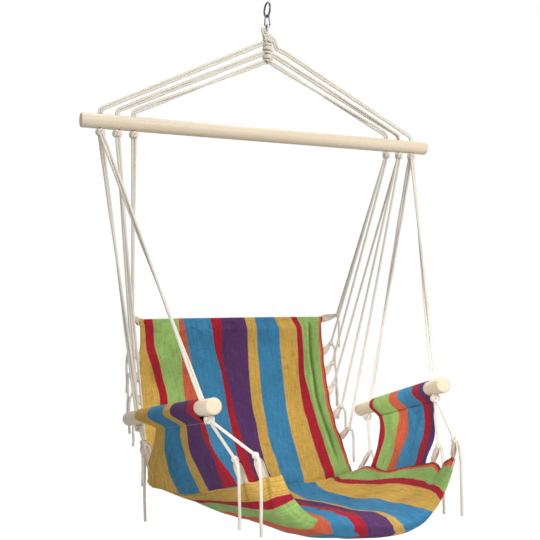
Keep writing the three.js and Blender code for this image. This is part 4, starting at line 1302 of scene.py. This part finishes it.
tape = Finish("cotton_tape", Roughness=0.9)
tape_across = tape.stored("stripe")
rib = (tape_across * (FULL_TURN / 1.1)).wave() * (tape.stored("length") * (FULL_TURN / 0.9)).wave()
tape_patch = tape.noise(tape.place(), 70.0, detail=4.0)
tape_colour = tape.blend(tape_patch, srgb(244, 230, 214), srgb(232, 209, 190))
selvage = ((tape_across.size() - 8.2) * 2.0).held()
tape_colour = tape.blend(selvage * 0.3, tape_colour, srgb(196, 172, 148))
tape.feed(Base_Color=tape.scaled(tape_colour, 0.97 + rib * 0.03))
tape.bump(rib * 0.5 + tape_patch, 0.0004, 0.7)


def ribbon(name, side, n):
    long_loop = (side, n) == LONG_LOOP
    along = LONG_LOOP_AT if long_loop else LOOPS[side][n][0]
    edge_way = unit(edge_line[side](along + .004) - edge_line[side](along - .004))
    row = min(range(ROWS), key=lambda i: abs(stations[i] - along))
    foot, inside = core[row][::side][-1], core[row][::side][-1 - SEWN_IN]
    knot = loop_knot(side, n)
    reach = knot - foot
    pull = unit(reach)
    lift = unit(np.cross(pull, edge_way)) * TAPE_APART

    def layer(sign):
        return [spot + lift * sign * apart for spot, apart in (
            (inside, .4), (foot, .4), (foot + reach * .3, 1.6), (foot + reach * .65, 1.6),
            (knot - pull * 5, .9), (knot + pull * 4.5, .4))]

    path = smooth_path([*layer(1), knot + pull * 5.5, *layer(-1)[::-1]], 1.8)
    run = run_along(path)[:, None]
    from_knot = np.linalg.norm(path - knot, axis=1)
    rise = held((path - foot) @ pull / np.linalg.norm(reach))
    way = edge_way
    if long_loop:
        width = TAPE_WIDTH * (.75 + .8 * rise - .75 * bell(rise - 1, .07))
        way = edge_way + vec(1.6, 0, 0) * rise[:, None]
    else:
        width = TAPE_WIDTH * (1 - .6 * bell(from_knot, 18 if n < UPPER_LOOPS else 12))
    tangent = units(np.gradient(path, axis=0))
    across = units(way - np.sum(tangent * way, axis=1)[:, None] * tangent)
    face = np.cross(across, tangent)
    strips = np.linspace(-.5, .5, TAPE_COLUMNS)
    off_hem = held(np.linalg.norm(path - foot, axis=1) / 14)[:, None]
    pleat = off_hem * (np.sin(strips[None] * FULL_TURN * 2.5 + n) * (.35 + bell(from_knot, 19)[:, None]) * 1.2
                       + .8 * np.sin(run / 7 + strips[None] * 5 + n))
    grid = (path[:, None] + across[:, None] * (strips[None, :, None] * width[:, None, None])
            + face[:, None] * pleat[..., None])
    normal = normals_of(grid) * TAPE_HALF
    stripe = np.repeat(strips[None] * TAPE_WIDTH, len(path), axis=0)
    length = np.repeat(run, TAPE_COLUMNS, axis=1)
    return closed_cloth(name, grid + normal, grid - normal, tape,
                        stripe=(stripe, stripe), length=(length, length))


for label, side in SIDES:
    for n in range(len(LOOPS[side])):
        loop = stand_in(ribbon(f"tape_{label}_{n + 1}", side, n), f"loop_{label}_{n + 1}")
print("tape loops: 18,", len(loop.data.polygons), "faces each")

# %% [markdown]
# Stitches repeat along a seam, which is a job for Geometry Nodes again. The tree
# spaces points evenly on a path, puts a short thread on each, turned along the path,
# and makes it all real. The same tree sews the sleeves and the hems.

# %% Stitches
STITCH_PROUD = 0.3
stitches = Growth("stitches", Spacing=0.0042, Length=0.0028, Thread=0.00045, Finish=None)
given = stitches.given
spaced = stitches.node("GeometryNodeCurveToPoints", {"mode": "LENGTH"},
                       Curve=given["Geometry"], Length=given["Spacing"])
bead = stitches.node("GeometryNodeMeshUVSphere", Segments=6, Rings=5, Radius=given["Thread"])
slim = stitches.vector(1.0, 1.0, given["Length"] / given["Thread"] / 2.0)
thread = stitches.node("GeometryNodeTransform", Geometry=bead, Scale=slim)
along_path = Wire(stitches, spaced.socket.node.outputs["Rotation"])
row = stitches.node("GeometryNodeInstanceOnPoints", Points=spaced, Instance=thread, Rotation=along_path)
stitches.finish(row)

sewing_thread = Finish("sewing_thread", Roughness=0.7)
ply = sewing_thread.noise(sewing_thread.place(), 900.0, detail=2.0)
sewing_thread.feed(Base_Color=sewing_thread.blend(ply, srgb(214, 196, 168), srgb(186, 164, 132)))
proud = top + normals_of(top) * STITCH_PROUD
hem_paths = [proud[4:-6, column] for column in (SEWN_IN, -1 - SEWN_IN)]
sewn = grown("seam_stitches", seam_paths + hem_paths, stitches, Finish=sewing_thread.material)
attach(sewn, "seat")
print("stitches:", len(sewn.data.polygons), "faces")

# %% [markdown]
# The chair hangs free in front of plain white. The floor lies below it and keeps a
# faint shadow. The world and soft lamps light it from above, in front and the right,
# and a spot lifts the inner side of the right panel, which they leave too dark.
# The white comes from what the camera sees of floor and world, not from more light.

# %% Stage and light
FLOOR_Z, FLOOR_HALF = -1.75, 9
LAMPS_AIM_AT = (0, -0.1, -0.9)


def emptied(owner):
    """The owner's node tree, as an empty graph."""
    owner.use_nodes = True
    owner.node_tree.nodes.clear()
    return Graph(owner.node_tree)


world = bpy.data.worlds.new("soft_white")
bpy.context.scene.world = world
sky = emptied(world)
soft = sky.node("ShaderNodeBackground", Color=(1, 1, 1, 1), Strength=0.47)
plain = sky.node("ShaderNodeBackground", Color=(1, 1, 1, 1), Strength=1.0)
direct = sky.node("ShaderNodeLightPath", output="Is Camera Ray")
through_glass = sky.node("ShaderNodeLightPath", output="Is Transmission Ray")
seen = direct.maths("MAXIMUM", direct, through_glass)
sky.node("ShaderNodeOutputWorld", Surface=sky.node("ShaderNodeMixShader", v0=seen, v1=soft, v2=plain))

floor_mesh = bmesh.new()
bmesh.ops.create_grid(floor_mesh, x_segments=2, y_segments=2, size=FLOOR_HALF)
floor = finished("studio_floor", floor_mesh, smooth=False)
floor.data.transform(Matrix.Translation((0, 0, FLOOR_Z)))
paint = bpy.data.materials.new("white_floor")
floor.data.materials.append(paint)
ground = emptied(paint)
matt = ground.node("ShaderNodeBsdfDiffuse", Color=(0.62, 0.62, 0.62, 1))
bright = ground.node("ShaderNodeEmission", Strength=1.1)
seen = ground.node("ShaderNodeLightPath", output="Is Camera Ray") * 0.88
mixed = ground.node("ShaderNodeMixShader", v0=seen, v1=matt, v2=bright)
ground.node("ShaderNodeOutputMaterial", Surface=mixed)


def lamp(name, place, power, size, aim=LAMPS_AIM_AT, cone=None):
    """A soft disk, or a spot with a soft edge where a cone in degrees is given."""
    data = bpy.data.lights.new(name, "SPOT" if cone else "AREA")
    data.energy = power
    if cone:
        data.spot_size = math.radians(cone)
        data.spot_blend = 1.0
        data.shadow_soft_size = size / 2
    else:
        data.shape = "DISK"
        data.size = size
    towards = (Vector(aim) - Vector(place)).to_track_quat("-Z", "Y")
    placed(name, data).matrix_world = Matrix.Translation(place) @ towards.to_matrix().to_4x4()


lamp("key_lamp", (0.5, -3.2, 1.0), 61, 1.6)
lamp("fill_lamp", (2.8, -2.2, 0.2), 25, 2.2)
lamp("panel_lamp", (-1.6, -1.6, -0.6), 300, 0.4, aim=(0.3, -0.1, -1.04), cone=13)
lamp("top_lamp", (0.2, 0.4, 2.2), 33, 1.8, aim=(0, -0.1, -1.0))
lamp("back_lamp", (1.4, 3.2, 0.6), 30, 2.0, aim=(0, 0, -0.9))
print("lamps: 5, floor at", round(floor.data.vertices[0].co.z, 2), "m")
